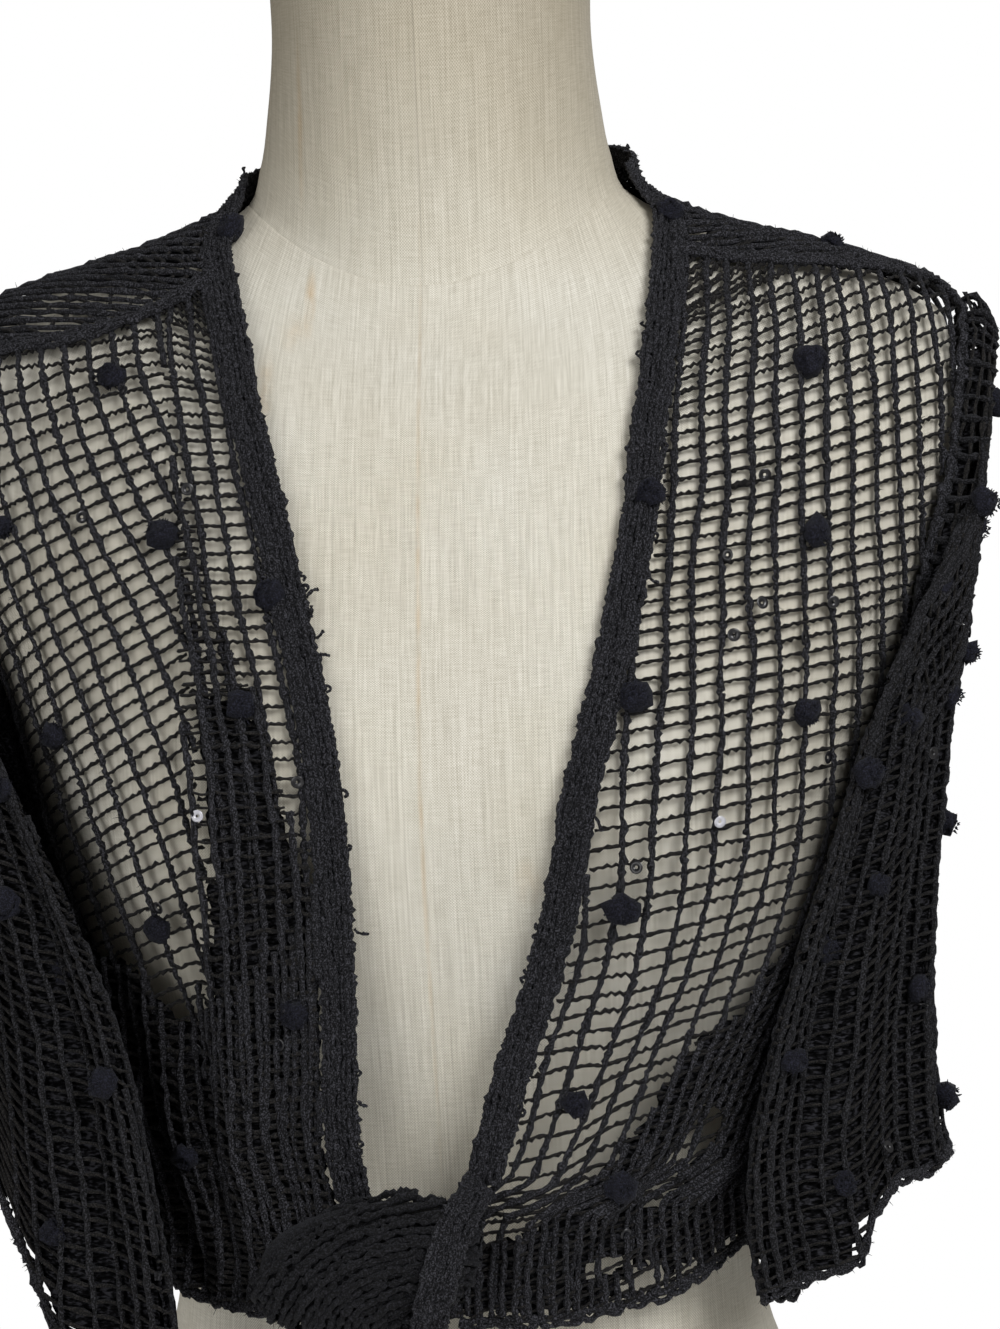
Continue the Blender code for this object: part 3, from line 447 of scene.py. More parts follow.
def yarn_material(name, dark, middle, speck_highlight, fibre=1900.0):
    made, nodes, links, shader = new_material(name, 0.9, sheen=0.04)
    shader.inputs["Sheen Tint"].default_value = (0.72, 0.76, 0.88, 1.0)
    shader.inputs["Specular IOR Level"].default_value = 0.25
    fibres = noise(nodes, links, fibre, 3.0)
    # The speck colour is painted highlight on single fibres.
    stops = ((0.0, dark), (0.5, middle), (0.6, speck_highlight), (0.8, speck_highlight))
    colours = ramp(nodes, links, fibres.outputs["Fac"], stops)
    links.new(colours.outputs["Color"], shader.inputs["Base Color"])
    bump(nodes, links, shader, fibres.outputs["Fac"], 1.0, 0.0005)
    return made


CHENILLE = yarn_material("chenille", (0.0004, 0.0004, 0.0006), (0.0014, 0.0014, 0.0022),
                         (0.055, 0.055, 0.066))
# A darker copy of the chenille for the sleeves: painted shade.
SHADED_YARN = yarn_material("shaded_yarn", (0.0003, 0.0003, 0.0004), (0.001, 0.001, 0.0015),
                            (0.034, 0.034, 0.04))
# A darker copy of the chenille for the knot: painted shade.
SHADED_KNOT_YARN = yarn_material("shaded_knot_yarn", (0.0003, 0.0003, 0.0004), (0.0008, 0.0008, 0.0012),
                          (0.02, 0.02, 0.025))
THIN_YARN = yarn_material("crinkled_yarn", (0.0006, 0.0006, 0.0006), (0.0024, 0.0021, 0.002),
                          (0.026, 0.023, 0.021))
TUFT = yarn_material("tuft_yarn", (0.0008, 0.0008, 0.0018), (0.003, 0.003, 0.0065), (0.016, 0.017, 0.03))


def fold_shade_material():
    """Painted shade of deep folds: almost black, with faint spots of the yarns further in."""
    made, nodes, links, shader = new_material("painted_fold_shade", 1.0)
    shader.inputs["Specular IOR Level"].default_value = 0.0
    deep = noise(nodes, links, 420.0, 3.0, stretch=(1.0, 1.0, 2.6))
    stops = ((0.4, (0.0026, 0.0026, 0.0029)), (0.52, (0.009, 0.009, 0.01)),
             (0.62, (0.034, 0.034, 0.04)))
    colours = ramp(nodes, links, deep.outputs["Fac"], stops)
    links.new(colours.outputs["Color"], shader.inputs["Base Color"])
    bump(nodes, links, shader, deep.outputs["Fac"], 1.0, 0.001)
    return made


FOLD_SHADE = fold_shade_material()
print("yarn materials:", CHENILLE.name, THIN_YARN.name, TUFT.name)

# %% [markdown]
# Linen is a plain weave: each thread goes over one and under the next, so from near by it is a fine
# checkerboard of small dots. Two sine waves multiplied give exactly that. Single threads vary in
# thickness, which shows as paler and darker upright streaks, and a large faint noise gives old cloth
# its uneven tone. The weave reads a map of the form's own up and round distances rather than space,
# so the threads follow the form. Old tan marks are round gradients, squashed and broken by noise.

# %% Linen and board
def blend(nodes, links, kind, factor, first, second):
    made = nodes.new("ShaderNodeMix")
    made.data_type = "RGBA"
    made.blend_type = kind
    if isinstance(factor, float):
        made.inputs["Factor"].default_value = factor
    else:
        links.new(factor, made.inputs["Factor"])
    for socket, value in (("A", first), ("B", second)):
        if isinstance(value, tuple):
            made.inputs[socket].default_value = (*value, 1.0)
        else:
            links.new(value, made.inputs[socket])
    return made.outputs["Result"]


def sum_of(nodes, links, kind, first, second):
    made = nodes.new("ShaderNodeMath")
    made.operation = kind
    links.new(first, made.inputs[0])
    if isinstance(second, float):
        made.inputs[1].default_value = second
    else:
        links.new(second, made.inputs[1])
    return made.outputs["Value"]


THREAD = 0.00048           # from thread to thread of the linen
MARKS = (                  # x, z, half width, half height and strength of old tan marks on the front
    (-0.04, 0.532, 0.0026, 0.015, 0.75),
    (-0.045, 0.521, 0.0075, 0.009, 0.25),
    (-0.0545, 0.5, 0.004, 0.018, 0.4),
    (0.033, 0.333, 0.006, 0.009, 0.3),
    (-0.001, 0.395, 0.0012, 0.19, 0.5),
    (-0.044, 0.595, 0.0016, 0.04, 0.55),
)


def waves(nodes, links, uv, axis):
    """A sine wave of the weave across or along the map."""
    split = nodes.new("ShaderNodeSeparateXYZ")
    links.new(uv, split.inputs["Vector"])
    count = sum_of(nodes, links, "MULTIPLY", split.outputs[axis], math.pi / THREAD)
    return sum_of(nodes, links, "SINE", count, 0.0)


def worn_marks(nodes, links):
    """How much of each old mark there is at a point."""
    place = nodes.new("ShaderNodeTexCoord").outputs["Object"]
    total = None
    for x, z, wide, high, strength in MARKS:
        squash = nodes.new("ShaderNodeMapping")
        squash.inputs["Location"].default_value = (-x / wide, 0.5, -z / high)
        squash.inputs["Scale"].default_value = (1 / wide, 5.0, 1 / high)
        links.new(place, squash.inputs["Vector"])
        spot = nodes.new("ShaderNodeTexGradient")
        spot.gradient_type = "SPHERICAL"
        links.new(squash.outputs["Vector"], spot.inputs["Vector"])
        one = sum_of(nodes, links, "MULTIPLY", spot.outputs["Fac"], strength)
        total = one if total is None else sum_of(nodes, links, "ADD", total, one)
    grit = noise(nodes, links, 190.0, 3.0, stretch=(1.0, 1.0, 0.35))
    broken = ramp(nodes, links, grit.outputs["Fac"], ((0.38, (0.25, 0.25, 0.25)), (0.6, (1.0, 1.0, 1.0))))
    return sum_of(nodes, links, "MULTIPLY", total, broken.outputs["Color"])


def linen_material():
    made, nodes, links, shader = new_material("linen_cover", 0.9, sheen=0.08)
    shader.inputs["Specular IOR Level"].default_value = 0.2
    uv = nodes.new("ShaderNodeUVMap")
    uv.uv_map = "weave"
    uv = uv.outputs["UV"]
    dots = sum_of(nodes, links, "MULTIPLY", waves(nodes, links, uv, "X"), waves(nodes, links, uv, "Y"))
    dots = sum_of(nodes, links, "MULTIPLY", dots, 0.15)
    warp = noise(nodes, links, 1.0, 1.0, uv, (1700.0, 60.0, 1.0)).outputs["Fac"]
    weft = noise(nodes, links, 1.0, 1.0, uv, (140.0, 1700.0, 1.0)).outputs["Fac"]
    slub = noise(nodes, links, 1.0, 0.0, uv, (1100.0, 12.0, 1.0)).outputs["Fac"]
    streaks = sum_of(nodes, links, "ADD", sum_of(nodes, links, "MULTIPLY", warp, 0.22),
                     sum_of(nodes, links, "MULTIPLY", slub, 0.14))
    streaks = sum_of(nodes, links, "ADD", streaks, sum_of(nodes, links, "MULTIPLY", weft, 0.18))
    height = sum_of(nodes, links, "ADD", sum_of(nodes, links, "ADD", streaks, 0.23), dots)
    stops = ((0.3, (0.4, 0.375, 0.31)), (0.5, (0.65, 0.625, 0.545)), (0.7, (0.88, 0.86, 0.79)))
    cloth = ramp(nodes, links, height, stops).outputs["Color"]
    tone = noise(nodes, links, 11.0, 3.0)
    tones = ramp(nodes, links, tone.outputs["Fac"], ((0.35, (0.94, 0.92, 0.88)), (0.65, (1.0, 1.0, 1.0))))
    cloth = blend(nodes, links, "MULTIPLY", 1.0, cloth, tones.outputs["Color"])
    cloth = blend(nodes, links, "MULTIPLY", worn_marks(nodes, links), cloth, (0.86, 0.6, 0.33))
    # From the neck's joint upwards the linen is made darker and warmer: painted shade.
    split = nodes.new("ShaderNodeSeparateXYZ")
    links.new(nodes.new("ShaderNodeTexCoord").outputs["Object"], split.inputs["Vector"])
    neck_shade = ramp(nodes, links, split.outputs["Z"], ((0.535, (1.0, 1.0, 1.0)), (0.585, (0.8, 0.77, 0.72)),
                                                   (0.66, (0.66, 0.62, 0.56))))
    cloth = blend(nodes, links, "MULTIPLY", 1.0, cloth, neck_shade.outputs["Color"])
    links.new(cloth, shader.inputs["Base Color"])
    bump(nodes, links, shader, height, 0.5, 0.0005)
    return made


def board_material():
    made, nodes, links, shader = new_material("painted_board", 0.55)
    grain = noise(nodes, links, 40.0, 4.0, stretch=(1.0, 12.0, 1.0))
    stops = ((0.35, (0.36, 0.31, 0.23)), (0.65, (0.5, 0.45, 0.36)))
    colours = ramp(nodes, links, grain.outputs["Fac"], stops)
    links.new(colours.outputs["Color"], shader.inputs["Base Color"])
    bump(nodes, links, shader, grain.outputs["Fac"], 0.2, 0.0003)
    return made


LINEN = linen_material()
BOARD = board_material()

# %% [markdown]
# ## The dress form
# The form's two linen pieces are turned from the rings with more sides than the solids need, closest
# together in front, so the outline is smooth. A lifted line down the centre front is the seam of the
# cover. The torso's top rim rolls in under the neck's lower edge, as sewn covers do, so the joint
# reads as a soft crease. The wooden cap and the base board keep their solid shape.

# %% Torso and neck
def turned(name, levels, insets, replaced):
    """A skin of the form between levels, with a weave map in metres."""
    front_half = -90.0 + 90.0 * np.linspace(0, 1, 54) ** 1.15
    fine = np.array([0.15, 0.3, 0.5, 0.8])
    half = np.unique(np.concatenate([front_half, -90.0 + fine, np.linspace(0, 90, 22)]))
    degrees = np.concatenate([-180.0 - half[::-1], half[1:]])
    points = on_form(levels[:, None], degrees[None, :])
    middle = points.mean(axis=1, keepdims=True) * (1, 1, 0) + points * (0, 0, 1)
    outwards = (points - middle) / np.linalg.norm(points - middle, axis=-1, keepdims=True)
    grid = points - outwards * insets[:, None, None]
    grid[..., 1] -= 0.00035 * np.exp(-(grid[..., 0] / 0.0005) ** 2) * (grid[..., 1] < 0)
    around = np.cumsum(np.linalg.norm(np.diff(grid, axis=1, prepend=grid[:, :1]), axis=2), axis=1)
    around -= around[:, len(half) - 1:len(half)]
    rise = np.cumsum(np.linalg.norm(np.diff(grid, axis=0, prepend=grid[:1]), axis=2).mean(axis=1))
    rows, columns = grid.shape[:2]
    first = (np.arange(rows - 1)[:, None] * columns + np.arange(columns - 1)).ravel()
    quads = np.stack([first, first + 1, first + columns + 1, first + columns], -1)
    made = mesh_object(name, grid.reshape(-1, 3), quads, LINEN)
    weave = made.data.uv_layers.new(name="weave")
    spots = np.stack([around, np.broadcast_to(rise[:, None], around.shape)], -1).reshape(-1, 2)
    weave.data.foreach_set("uv", spots[quads.ravel()].astype(np.float32).ravel())
    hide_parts(replaced)
    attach(made, "root")
    print(name, 2 * len(quads), "triangles")
    return made


torso_levels = np.concatenate([np.linspace(0.0083, 0.5, 66), np.linspace(0.504, 0.5755, 18),
                               [0.5764, 0.5769, 0.5771, 0.5772]])
rolled_in = np.concatenate([np.zeros(85), [0.0002, 0.0006, 0.0012]])
turned("linen_torso", torso_levels, rolled_in, "form_torso")
neck_levels = np.concatenate([[0.5755, 0.5767, 0.5772, 0.5779, 0.579], np.linspace(0.581, 0.662, 20)])
neck_insets = np.concatenate([[0.0009, 0.0005, 0.0003, 0.0001], np.zeros(21)])
neck = turned("linen_neck", neck_levels, neck_insets, "form_neck")
for node in ("form_neck_cap", "form_base"):
    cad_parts[node].data.materials.clear()
    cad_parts[node].data.materials.append(BOARD)
print("board finish on the cap and the base")

# %% [markdown]
# ## Knitting the net
# A ladder net has two yarns. The cords run the length of the piece, and the thin yarn steps across
# from cord to cord, crinkling a few times on the way and sagging a little. Both are laid out in
# distances on the chart: a grain table says, at each height, how the cords draw together, how far
# they lean towards the knot, and how steeply the rungs climb. Chenille is nubbly rather than wavy, so
# every short step of a cord gets its own thickness and a small shift.

# %% Random help for hand work
CELL = 0.0088              # from cord to cord
RUNG = 0.0059              # from rung to rung


def rounded(values, seed, roughness):
    """A smooth random wander for each line, the same on every run."""
    wander = np.random.default_rng(seed).standard_normal(values)
    kernel = np.hanning(roughness * 2 + 1)
    kernel /= np.sqrt((kernel**2).sum())
    return np.apply_along_axis(lambda row: np.convolve(row, kernel, mode="same")[:len(row)], -1, wander)


def unit(vectors):
    return vectors / (np.linalg.norm(vectors, axis=-1, keepdims=True) + 1e-12)


def fibres(roots, directions, length, radius=0.00016, ends=False):
    """Short tapering fibres that stand on the roots."""
    bend = 0.3 * np.random.default_rng(len(roots)).standard_normal(roots.shape)
    tips = roots + (directions + bend) * length[:, None]
    lines = np.stack([roots, tips], axis=1)
    facing = np.broadcast_to(unit(np.cross(directions, (0.31, 0.52, 0.79)))[:, None], lines.shape)
    taper = np.broadcast_to(radius * np.array([1.0, 0.3]), lines.shape[:2])
    return tubes(lines, facing, taper, np.ones(lines.shape[:2], bool), 3, 0.0, ends)


# %% One net from a grain table
def drawn_in(level, reach, tie):
    """Draws the net towards the tie: its cells shrink the nearer they are to it."""
    tie_level, tie_reach, radius, power = tie
    share = np.minimum(np.hypot(level - tie_level, reach - tie_reach) / radius, 1.0) ** power
    return tie_level + (level - tie_level) * share, tie_reach + (reach - tie_reach) * share


def net(surface, inside, grain, first, last, bottom, top, seed=1, cell=CELL, rung=RUNG, lift=0.0,
        wale_sides=4, rung_sides=3, wale_steps=5, rung_steps=7, thick=1.0, tie=None, measure=None, fuzz=0):
    """Tubes of a net. surface(level, reach, out) gives points and normals, inside(level, reach)
    says where the net is, and grain has level, spread, shift and climb. measure has levels and the
    distance up the cloth at each, so that the rungs are evenly spaced on the cloth."""
    if measure is None:
        measure = np.array([[bottom, top], [bottom, top]])

    def place(level, start):
        reach = start * smooth(grain, 1, level) - smooth(grain, 2, level)
        height = np.interp(level, measure[0], measure[1]) + smooth(grain, 3, level) * reach
        level = np.interp(height, measure[1], measure[0])
        return (level, reach) if tie is None else drawn_in(level, reach, tie)

    low, high = np.interp((bottom, top), measure[0], measure[1])
    starts = np.arange(first, last, cell)
    heights = np.interp(np.arange(low, high, rung), measure[1], measure[0])
    # the cords
    steps = int((high - low) / rung * wale_steps)
    level = np.interp(np.linspace(low, high, steps), measure[1], measure[0])
    level = np.broadcast_to(level, (len(starts), steps))
    start = starts[:, None] + 0.0004 * rounded(level.shape, seed, 4 * wale_steps)
    start = start + 0.00016 * rounded(level.shape, seed + 8, 1)
    level, reach = place(level, start)
    out = lift + WALE / 2 * thick + 0.00018 * rounded(level.shape, seed + 1, 1)
    points, normals = surface(level, reach, out)
    keep = inside(level, reach)
    thickness = WALE / 2 * thick * (1 + 0.08 * rounded(level.shape, seed + 2, 4)
                                    + 0.13 * rounded(level.shape, seed + 9, 1)).clip(0.6, 1.5)
    cords = tubes(points, normals, thickness, keep, wale_sides, 0.3, ends=True)
    loose = []
    if fuzz:
        chance = np.random.default_rng(seed + 12)
        shown = np.flatnonzero(keep.ravel())
        pick = chance.choice(shown, fuzz)
        away = unit(normals.reshape(-1, 3)[pick] + 0.9 * chance.standard_normal((fuzz, 3)))
        roots = points.reshape(-1, 3)[pick] + away * WALE * 0.35
        loose.append(fibres(roots, away, chance.uniform(0.0006, 0.0018, fuzz), ends=True))
    # the rungs
    per = rung_steps
    steps = len(starts) * per
    across = first + (np.arange(steps) / per) * cell
    level = heights[:, None] + 0.0003 * rounded((len(heights), steps), seed + 3, 2 * per)
    phase = across[None, :] / cell * 2 * math.pi
    crinkle = 0.0003 * np.sin(3.3 * phase + 1.5 * rounded(level.shape, seed + 4, 3 * per))
    sag = -0.0004 * (1 - np.cos(phase)) / 2
    level, reach = place(level, np.broadcast_to(across, level.shape))
    out = lift + WALE * 0.42 * thick + 0.0003 * np.cos(3.3 * phase)
    points, normals = surface(level + crinkle + sag, reach, out)
    keep = inside(level, reach)
    slub = np.clip(rounded(level.shape, seed + 5, per) - 2.0, 0, 1) * 0.9
    knobs = 0.3 * np.cos(4.1 * phase + rounded(level.shape, seed + 7, 3 * per))
    swell = 1 + slub + knobs + 0.12 * rounded(level.shape, seed + 6, 1)
    thickness = YARN / 2 * thick * swell.clip(0.7, 2.0)
    rungs = tubes(points, normals, thickness, keep, rung_sides, 0.25, ends=True)
    return cords, rungs, loose


def shade_wall(surface, inside, across, bottom, top, step, lift, seed):
    """A closed, uneven wall in painted shade for many folded layers. across is its first and last reach.
    """
    levels, reaches = np.arange(bottom, top, step), np.arange(*across, step)
    level, reach = np.meshgrid(levels, reaches, indexing="ij")
    chance = np.random.default_rng(seed)
    level, reach = [v + step * 0.28 * chance.standard_normal(v.shape) for v in (level, reach)]
    out = lift + 0.00028 * chance.standard_normal(level.shape)
    points, _ = surface(level, reach, out)
    keep = inside(level, reach)
    columns = len(reaches)
    first = np.arange(len(levels) - 1)[:, None] * columns + np.arange(columns - 1)
    quads = np.stack([first, first + 1, first + columns + 1, first + columns], -1)
    shown = keep[:-1, :-1] & keep[1:, :-1] & keep[:-1, 1:] & keep[1:, 1:]
    return points.reshape(-1, 3), quads[shown]


def finish_cloth(name, layers, walls, node, yarn=CHENILLE):
    """Joins the yarns of one piece and dresses them. The walls of painted shade behind are a piece of
    their own.
    """
    cords = join([layer[0] for layer in layers] + [part for layer in layers for part in layer[2]])
    rungs = join([layer[1] for layer in layers])
    points, faces = join([cords, rungs])
    made = mesh_object(name, points, faces, yarn)
    made.data.materials.append(THIN_YARN)
    finish = np.zeros(len(faces), np.int32)
    finish[len(cords[1]):] = 1
    made.data.polygons.foreach_set("material_index", finish)
    wall_points, wall_faces = join(walls)
    # The walls are near-black: painted shade of the folded layers.
    wall = mesh_object(node + "_painted_fold_shade", wall_points, wall_faces, FOLD_SHADE)
    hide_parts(node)
    for piece in (made, wall):
        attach(piece, "root")
    print(name, len(faces) + len(wall_faces), "triangles")
    return made


# %% [markdown]
# ## The left front
# The left front is one even net: about fifteen cords wide at the chest, which lean a little away
# from the edging and are drawn together towards the knot. Low down the cloth is doubled by its own
# folds, so a finer layer of net lies there, across the grain of the first. A wall just under it,
# dark with painted shade, stands for the layers between. The hem rises towards the side.

# %% Left front
HEM = np.array((           # x and height of the front's hem: left front, then right front
    (0.0, 0.188, 0.188),
    (0.045, 0.1885, 0.19),
    (0.066, 0.1925, 0.192),
    (0.078, 0.1985, 0.194),
    (0.088, 0.206, 0.196),
    (0.105, 0.208, 0.196),
    (0.15, 0.198, 0.196),
))


def hem_height(x, facing):
    """Height of the body's hem at x, in front (-1) or behind (1)."""
    front = np.where(x >= 0, np.interp(x, HEM[:, 0], HEM[:, 1]), np.interp(-x, HEM[:, 0], HEM[:, 2]))
    return np.where(facing < 0, front, 0.1905)


def front_surface(side):
    def surface(level, reach, out):
        degrees = read_chart(CHARTS[side], level, np.maximum(reach, 0))
        return on_cloth(level, degrees, side, CLEAR + out)
    return surface


def front_inside(side, region=None):
    def inside(level, reach):
        degrees = read_chart(CHARTS[side], level, np.maximum(reach, 0))
        point = on_form(level, degrees, side)
        kept = (reach > 0) & (degrees < front_end(level, side) - 0.2)
        kept &= point[..., 2] > hem_height(point[..., 0], -1)
        if region is not None:
            kept &= region(point[..., 0], point[..., 2])
        return kept
    return inside


def up_the_front(side, reach=0.075):
    """Levels, and the distance up the cloth at each, along one line of a front."""
    points, _ = front_surface(side)(LEVELS, np.full(len(LEVELS), reach), 0.0)
    run = np.cumsum(np.linalg.norm(np.diff(points, axis=0, prepend=points[:1]) * (1, 0.35, 1), axis=1))
    below, above = 0.2, 0.2
    levels = np.concatenate([[LEVELS[0] - below], LEVELS, [LEVELS[-1] + above]])
    return np.array([levels, np.concatenate([[-below], run, [run[-1] + above]])])


GRAIN_LEFT = np.array((    # level, spread, shift, climb
    (0.19, 0.88, -0.013, 0.24),
    (0.241, 0.96, -0.017, 0.22),
    (0.274, 1.02, -0.0186, 0.19),
    (0.307, 1.04, -0.019, 0.16),
    (0.34, 1.12, -0.0165, 0.14),
    (0.388, 1.08, -0.0093, 0.14),
    (0.449, 1.02, -0.0033, 0.03),
    (0.531, 1.0, 0.0, -0.06),
    (0.58, 1.0, 0.003, -0.08),
))
DENSE_LEFT = np.array((    # x, z: below this line the left front is doubled by its folds
    (0.0, 0.216),
    (0.02, 0.221),
    (0.04, 0.235),
    (0.053, 0.25),
    (0.064, 0.264),
    (0.071, 0.276),
    (0.08, 0.284),
    (0.091, 0.29),
    (0.098, 0.296),
    (0.112, 0.31),
    (0.131, 0.329),
    (0.15, 0.35),
))
GAPS_LEFT = (              # x, z, half length, half width and slope of places where the linen shows
    (0.0755, 0.248, 0.012, 0.0038, 1.15),
    (0.063, 0.233, 0.007, 0.0034, 1.05),
    (0.096, 0.21, 0.005, 0.0035, 0.8),
    (0.084, 0.202, 0.005, 0.003, 0.9),
    (0.046, 0.206, 0.006, 0.0032, 0.4),
    (0.058, 0.198, 0.006, 0.003, 0.5),
    (0.07, 0.196, 0.0045, 0.0028, 0.5),
)


def below(line, gaps=()):
    """Whether points are below a line and outside some slanted gaps."""
    def region(x, z):
        kept = z < np.interp(x, line[:, 0], line[:, 1])
        for gap_x, gap_z, long, wide, slope in gaps:
            along = ((x - gap_x) + (z - gap_z) * slope) / math.hypot(1, slope)
            aside = ((z - gap_z) - (x - gap_x) * slope) / math.hypot(1, slope)
            kept &= (along / long) ** 2 + (aside / wide) ** 2 > 1
        return kept
    return region


LEFT_TIE = (0.212, -0.004, 0.07, 0.3)     # level and reach of the tie, and how it draws
left = front_surface(LEFT)
left_rows = up_the_front(LEFT)
left_low = front_inside(LEFT, below(DENSE_LEFT, GAPS_LEFT))
GRAIN_LOW = GRAIN_LEFT * (1.0, 0.86, 1.0, 0.0) + (0.0, 0.0, 0.0, 0.52)
left_layers = [
    net(left, front_inside(LEFT), GRAIN_LEFT, -0.0316, 0.2, 0.12, 0.64, seed=11, tie=LEFT_TIE,
        rung=0.0063, measure=left_rows, fuzz=1500),
    net(left, left_low, GRAIN_LOW, -0.05, 0.24, 0.1, 0.345, seed=21, cell=0.0054, rung=0.0042,
        lift=0.0012, wale_steps=2, rung_steps=3, thick=0.9),
]
left_walls = [shade_wall(left, left_low, (0.001, 0.15), 0.186, 0.34, 0.0026, 0.0004, 26)]
front_left = finish_cloth("front_left_net", left_layers, left_walls, "front_left")

# %% [markdown]
# ## The right front
# The right front hangs on the cross. A narrow strip of net runs down beside the edging, then a
# fold doubles the cloth, and beyond the fold the grain leans in towards it, with rungs that drop
# away outwards. Each of the three is a net of its own with its own grain, and one more lies over
# them low down, where the cloth is gathered to the tie.

# %% Right front
GRAIN_STRIP = np.array((
    (0.19, 1.0, 0.0, 0.0),
    (0.3, 1.0, 0.0, 0.0),
    (0.42, 1.0, 0.0, -0.05),
    (0.53, 1.0, 0.0, -0.2),
    (0.58, 1.0, 0.0, -0.2),
))
GRAIN_RIGHT = np.array((
    (0.19, 1.05, 0.081, -0.1),
    (0.3, 1.15, 0.064, -0.3),
    (0.35, 1.2, 0.055, -0.38),
    (0.42, 1.16, 0.036, -0.44),
    (0.48, 1.04, 0.0165, -0.5),
    (0.53, 1.0, 0.0, -0.52),
    (0.58, 1.0, -0.022, -0.5),
))
FOLD_LINES = np.array((    # z, x of the fold's outer and inner edge
    (0.19, -0.06, -0.02),
    (0.3, -0.074, -0.026),
    (0.33, -0.0718, -0.034),
    (0.347, -0.0716, -0.038),
    (0.366, -0.0731, -0.0451),
    (0.38, -0.075, -0.048),
    (0.396, -0.077, -0.0534),
    (0.412, -0.079, -0.062),
    (0.429, -0.0803, -0.0692),
    (0.456, -0.0822, -0.0764),
    (0.471, -0.084, -0.082),
    (0.486, -0.088, -0.087),
    (0.511, -0.0925, -0.092),
    (0.53, -0.094, -0.0935),
))
DENSE_RIGHT = np.array((   # x, z: below this line the right front is doubled by its folds
    (-0.16, 0.352),
    (-0.148, 0.345),
    (-0.137, 0.32),
    (-0.117, 0.313),
    (-0.095, 0.31),
    (-0.078, 0.293),
    (-0.06, 0.31),
    (-0.02, 0.34),
))
right = front_surface(RIGHT)


def fold_edge(z, column):
    return np.interp(z, FOLD_LINES[:, 0], FOLD_LINES[:, column])


RIGHT_TIE = (0.212, 0.01, 0.08, 0.35)
outer = front_inside(RIGHT, lambda x, z: x < fold_edge(z, 1) + 0.003)
strip = front_inside(RIGHT, lambda x, z: x > fold_edge(z, 1) + 0.002)
in_fold = front_inside(RIGHT, lambda x, z: (x > fold_edge(z, 1)) & (x < fold_edge(z, 2)) & (z < 0.52))
fold_core = front_inside(RIGHT, lambda x, z: (x > fold_edge(z, 1) + 0.003) & (x < fold_edge(z, 2) - 0.002)
                         & (np.sin(900 * x + 400 * z) * np.sin(700 * z) < 3 * (0.4 - z) / 0.03))
low = front_inside(RIGHT, below(DENSE_RIGHT))
right_rows = up_the_front(RIGHT)
close = dict(cell=0.006, rung=0.0048, wale_steps=3, rung_steps=4)
right_layers = [
    net(right, strip, GRAIN_STRIP, 0.0022, 0.05, 0.15, 0.59, seed=31, rung=0.0061,
        measure=right_rows, fuzz=500),
    net(right, outer, GRAIN_RIGHT, 0.006, 0.3, 0.12, 0.72, seed=41, cell=0.0098, rung=0.0064,
        rung_steps=8, tie=RIGHT_TIE, measure=right_rows, fuzz=900),
    net(right, in_fold, GRAIN_STRIP, 0.0, 0.055, 0.15, 0.56, seed=51, lift=0.002, **close),
    net(right, low, GRAIN_STRIP, 0.003, 0.24, 0.15, 0.36, seed=61, lift=0.0016, tie=RIGHT_TIE, **close),
]
right_walls = [
    shade_wall(right, fold_core, (0.001, 0.08), 0.188, 0.47, 0.0024, 0.001, 56),
    shade_wall(right, low, (0.001, 0.2), 0.188, 0.36, 0.0024, 0.0006, 66),
]
front_right = finish_cloth("front_right_net", right_layers, right_walls, "front_right")

# %% [markdown]
# ## The back
# The back is the same net from side seam to side seam, laid out from the middle both ways. It goes
# over the shoulders to the seams, and hangs in soft folds below the shoulder blades. Over the
# shoulders it is closer, with its rungs spaced along the shoulder, above a nearly closed wall of
# painted shade.

# %% Back
def back_degrees(level, reach):
    degrees = read_chart(BACK_CHARTS[LEFT], level, np.abs(reach))
    return np.where(reach >= 0, degrees, 180.0 - degrees)


def back_surface(level, reach, out):
    return on_cloth(level, back_degrees(level, reach), LEFT, CLEAR + out)


def back_inside(level, reach):
    degrees = read_chart(BACK_CHARTS[LEFT], level, np.abs(reach))
    edge = np.where(reach >= 0, back_end(level, LEFT), back_end(level, RIGHT))
    neck = np.where(reach >= 0, np.interp(level, LEVELS, beside_edging(LEFT)),
                    np.interp(level, LEVELS, beside_edging(RIGHT)))
    top = (level > ARMHOLE[-1, 0]) & (degrees < neck)
    return (degrees > edge + 0.2) & ~top & (level > 0.19) & (level < 0.588)


def yoke_inside(level, reach):
    return back_inside(level, reach) & (level > 0.53)


def below_yoke(level, reach):
    return back_inside(level, reach) & (level < 0.54)


YOKE_MEASURE = np.array((   # levels over the shoulder, and the distance along it at each
    (0.5, 0.531, 0.544, 0.555, 0.563, 0.57, 0.577, 0.588),
    (-0.031, 0.0, 0.021, 0.051, 0.08, 0.106, 0.123, 0.14),
))


GRAIN_BACK = np.array((
    (0.19, 0.86, 0.0, 0.0),
    (0.32, 0.97, 0.0, 0.0),
    (0.42, 1.0, 0.0, 0.0),
    (0.58, 1.0, 0.0, 0.0),
))
back_layers = [
    net(back_surface, below_yoke, GRAIN_BACK, -0.3, 0.3, 0.186, 0.542, seed=71, cell=0.0094,
        rung=0.0062, wale_steps=2, rung_steps=4, thick=0.94),
    net(back_surface, yoke_inside, GRAIN_BACK, -0.297, 0.3, 0.526, 0.588, seed=75, cell=0.0088,
        rung=0.0046, lift=0.001, wale_steps=2, rung_steps=4, thick=1.1, measure=YOKE_MEASURE, fuzz=900),
]
HOLES = 0.035               # share of the shoulder's wall that is left open
chance = np.random.default_rng(78)


def nearly_closed(level, reach):
    return yoke_inside(level, reach) & (level > 0.532) & (chance.random(level.shape) > HOLES)


back_walls = [shade_wall(back_surface, nearly_closed, (-0.2, 0.2), 0.53, 0.588, 0.0026, -0.0002, 77)]
back = finish_cloth("back_net", back_layers, back_walls, "back")

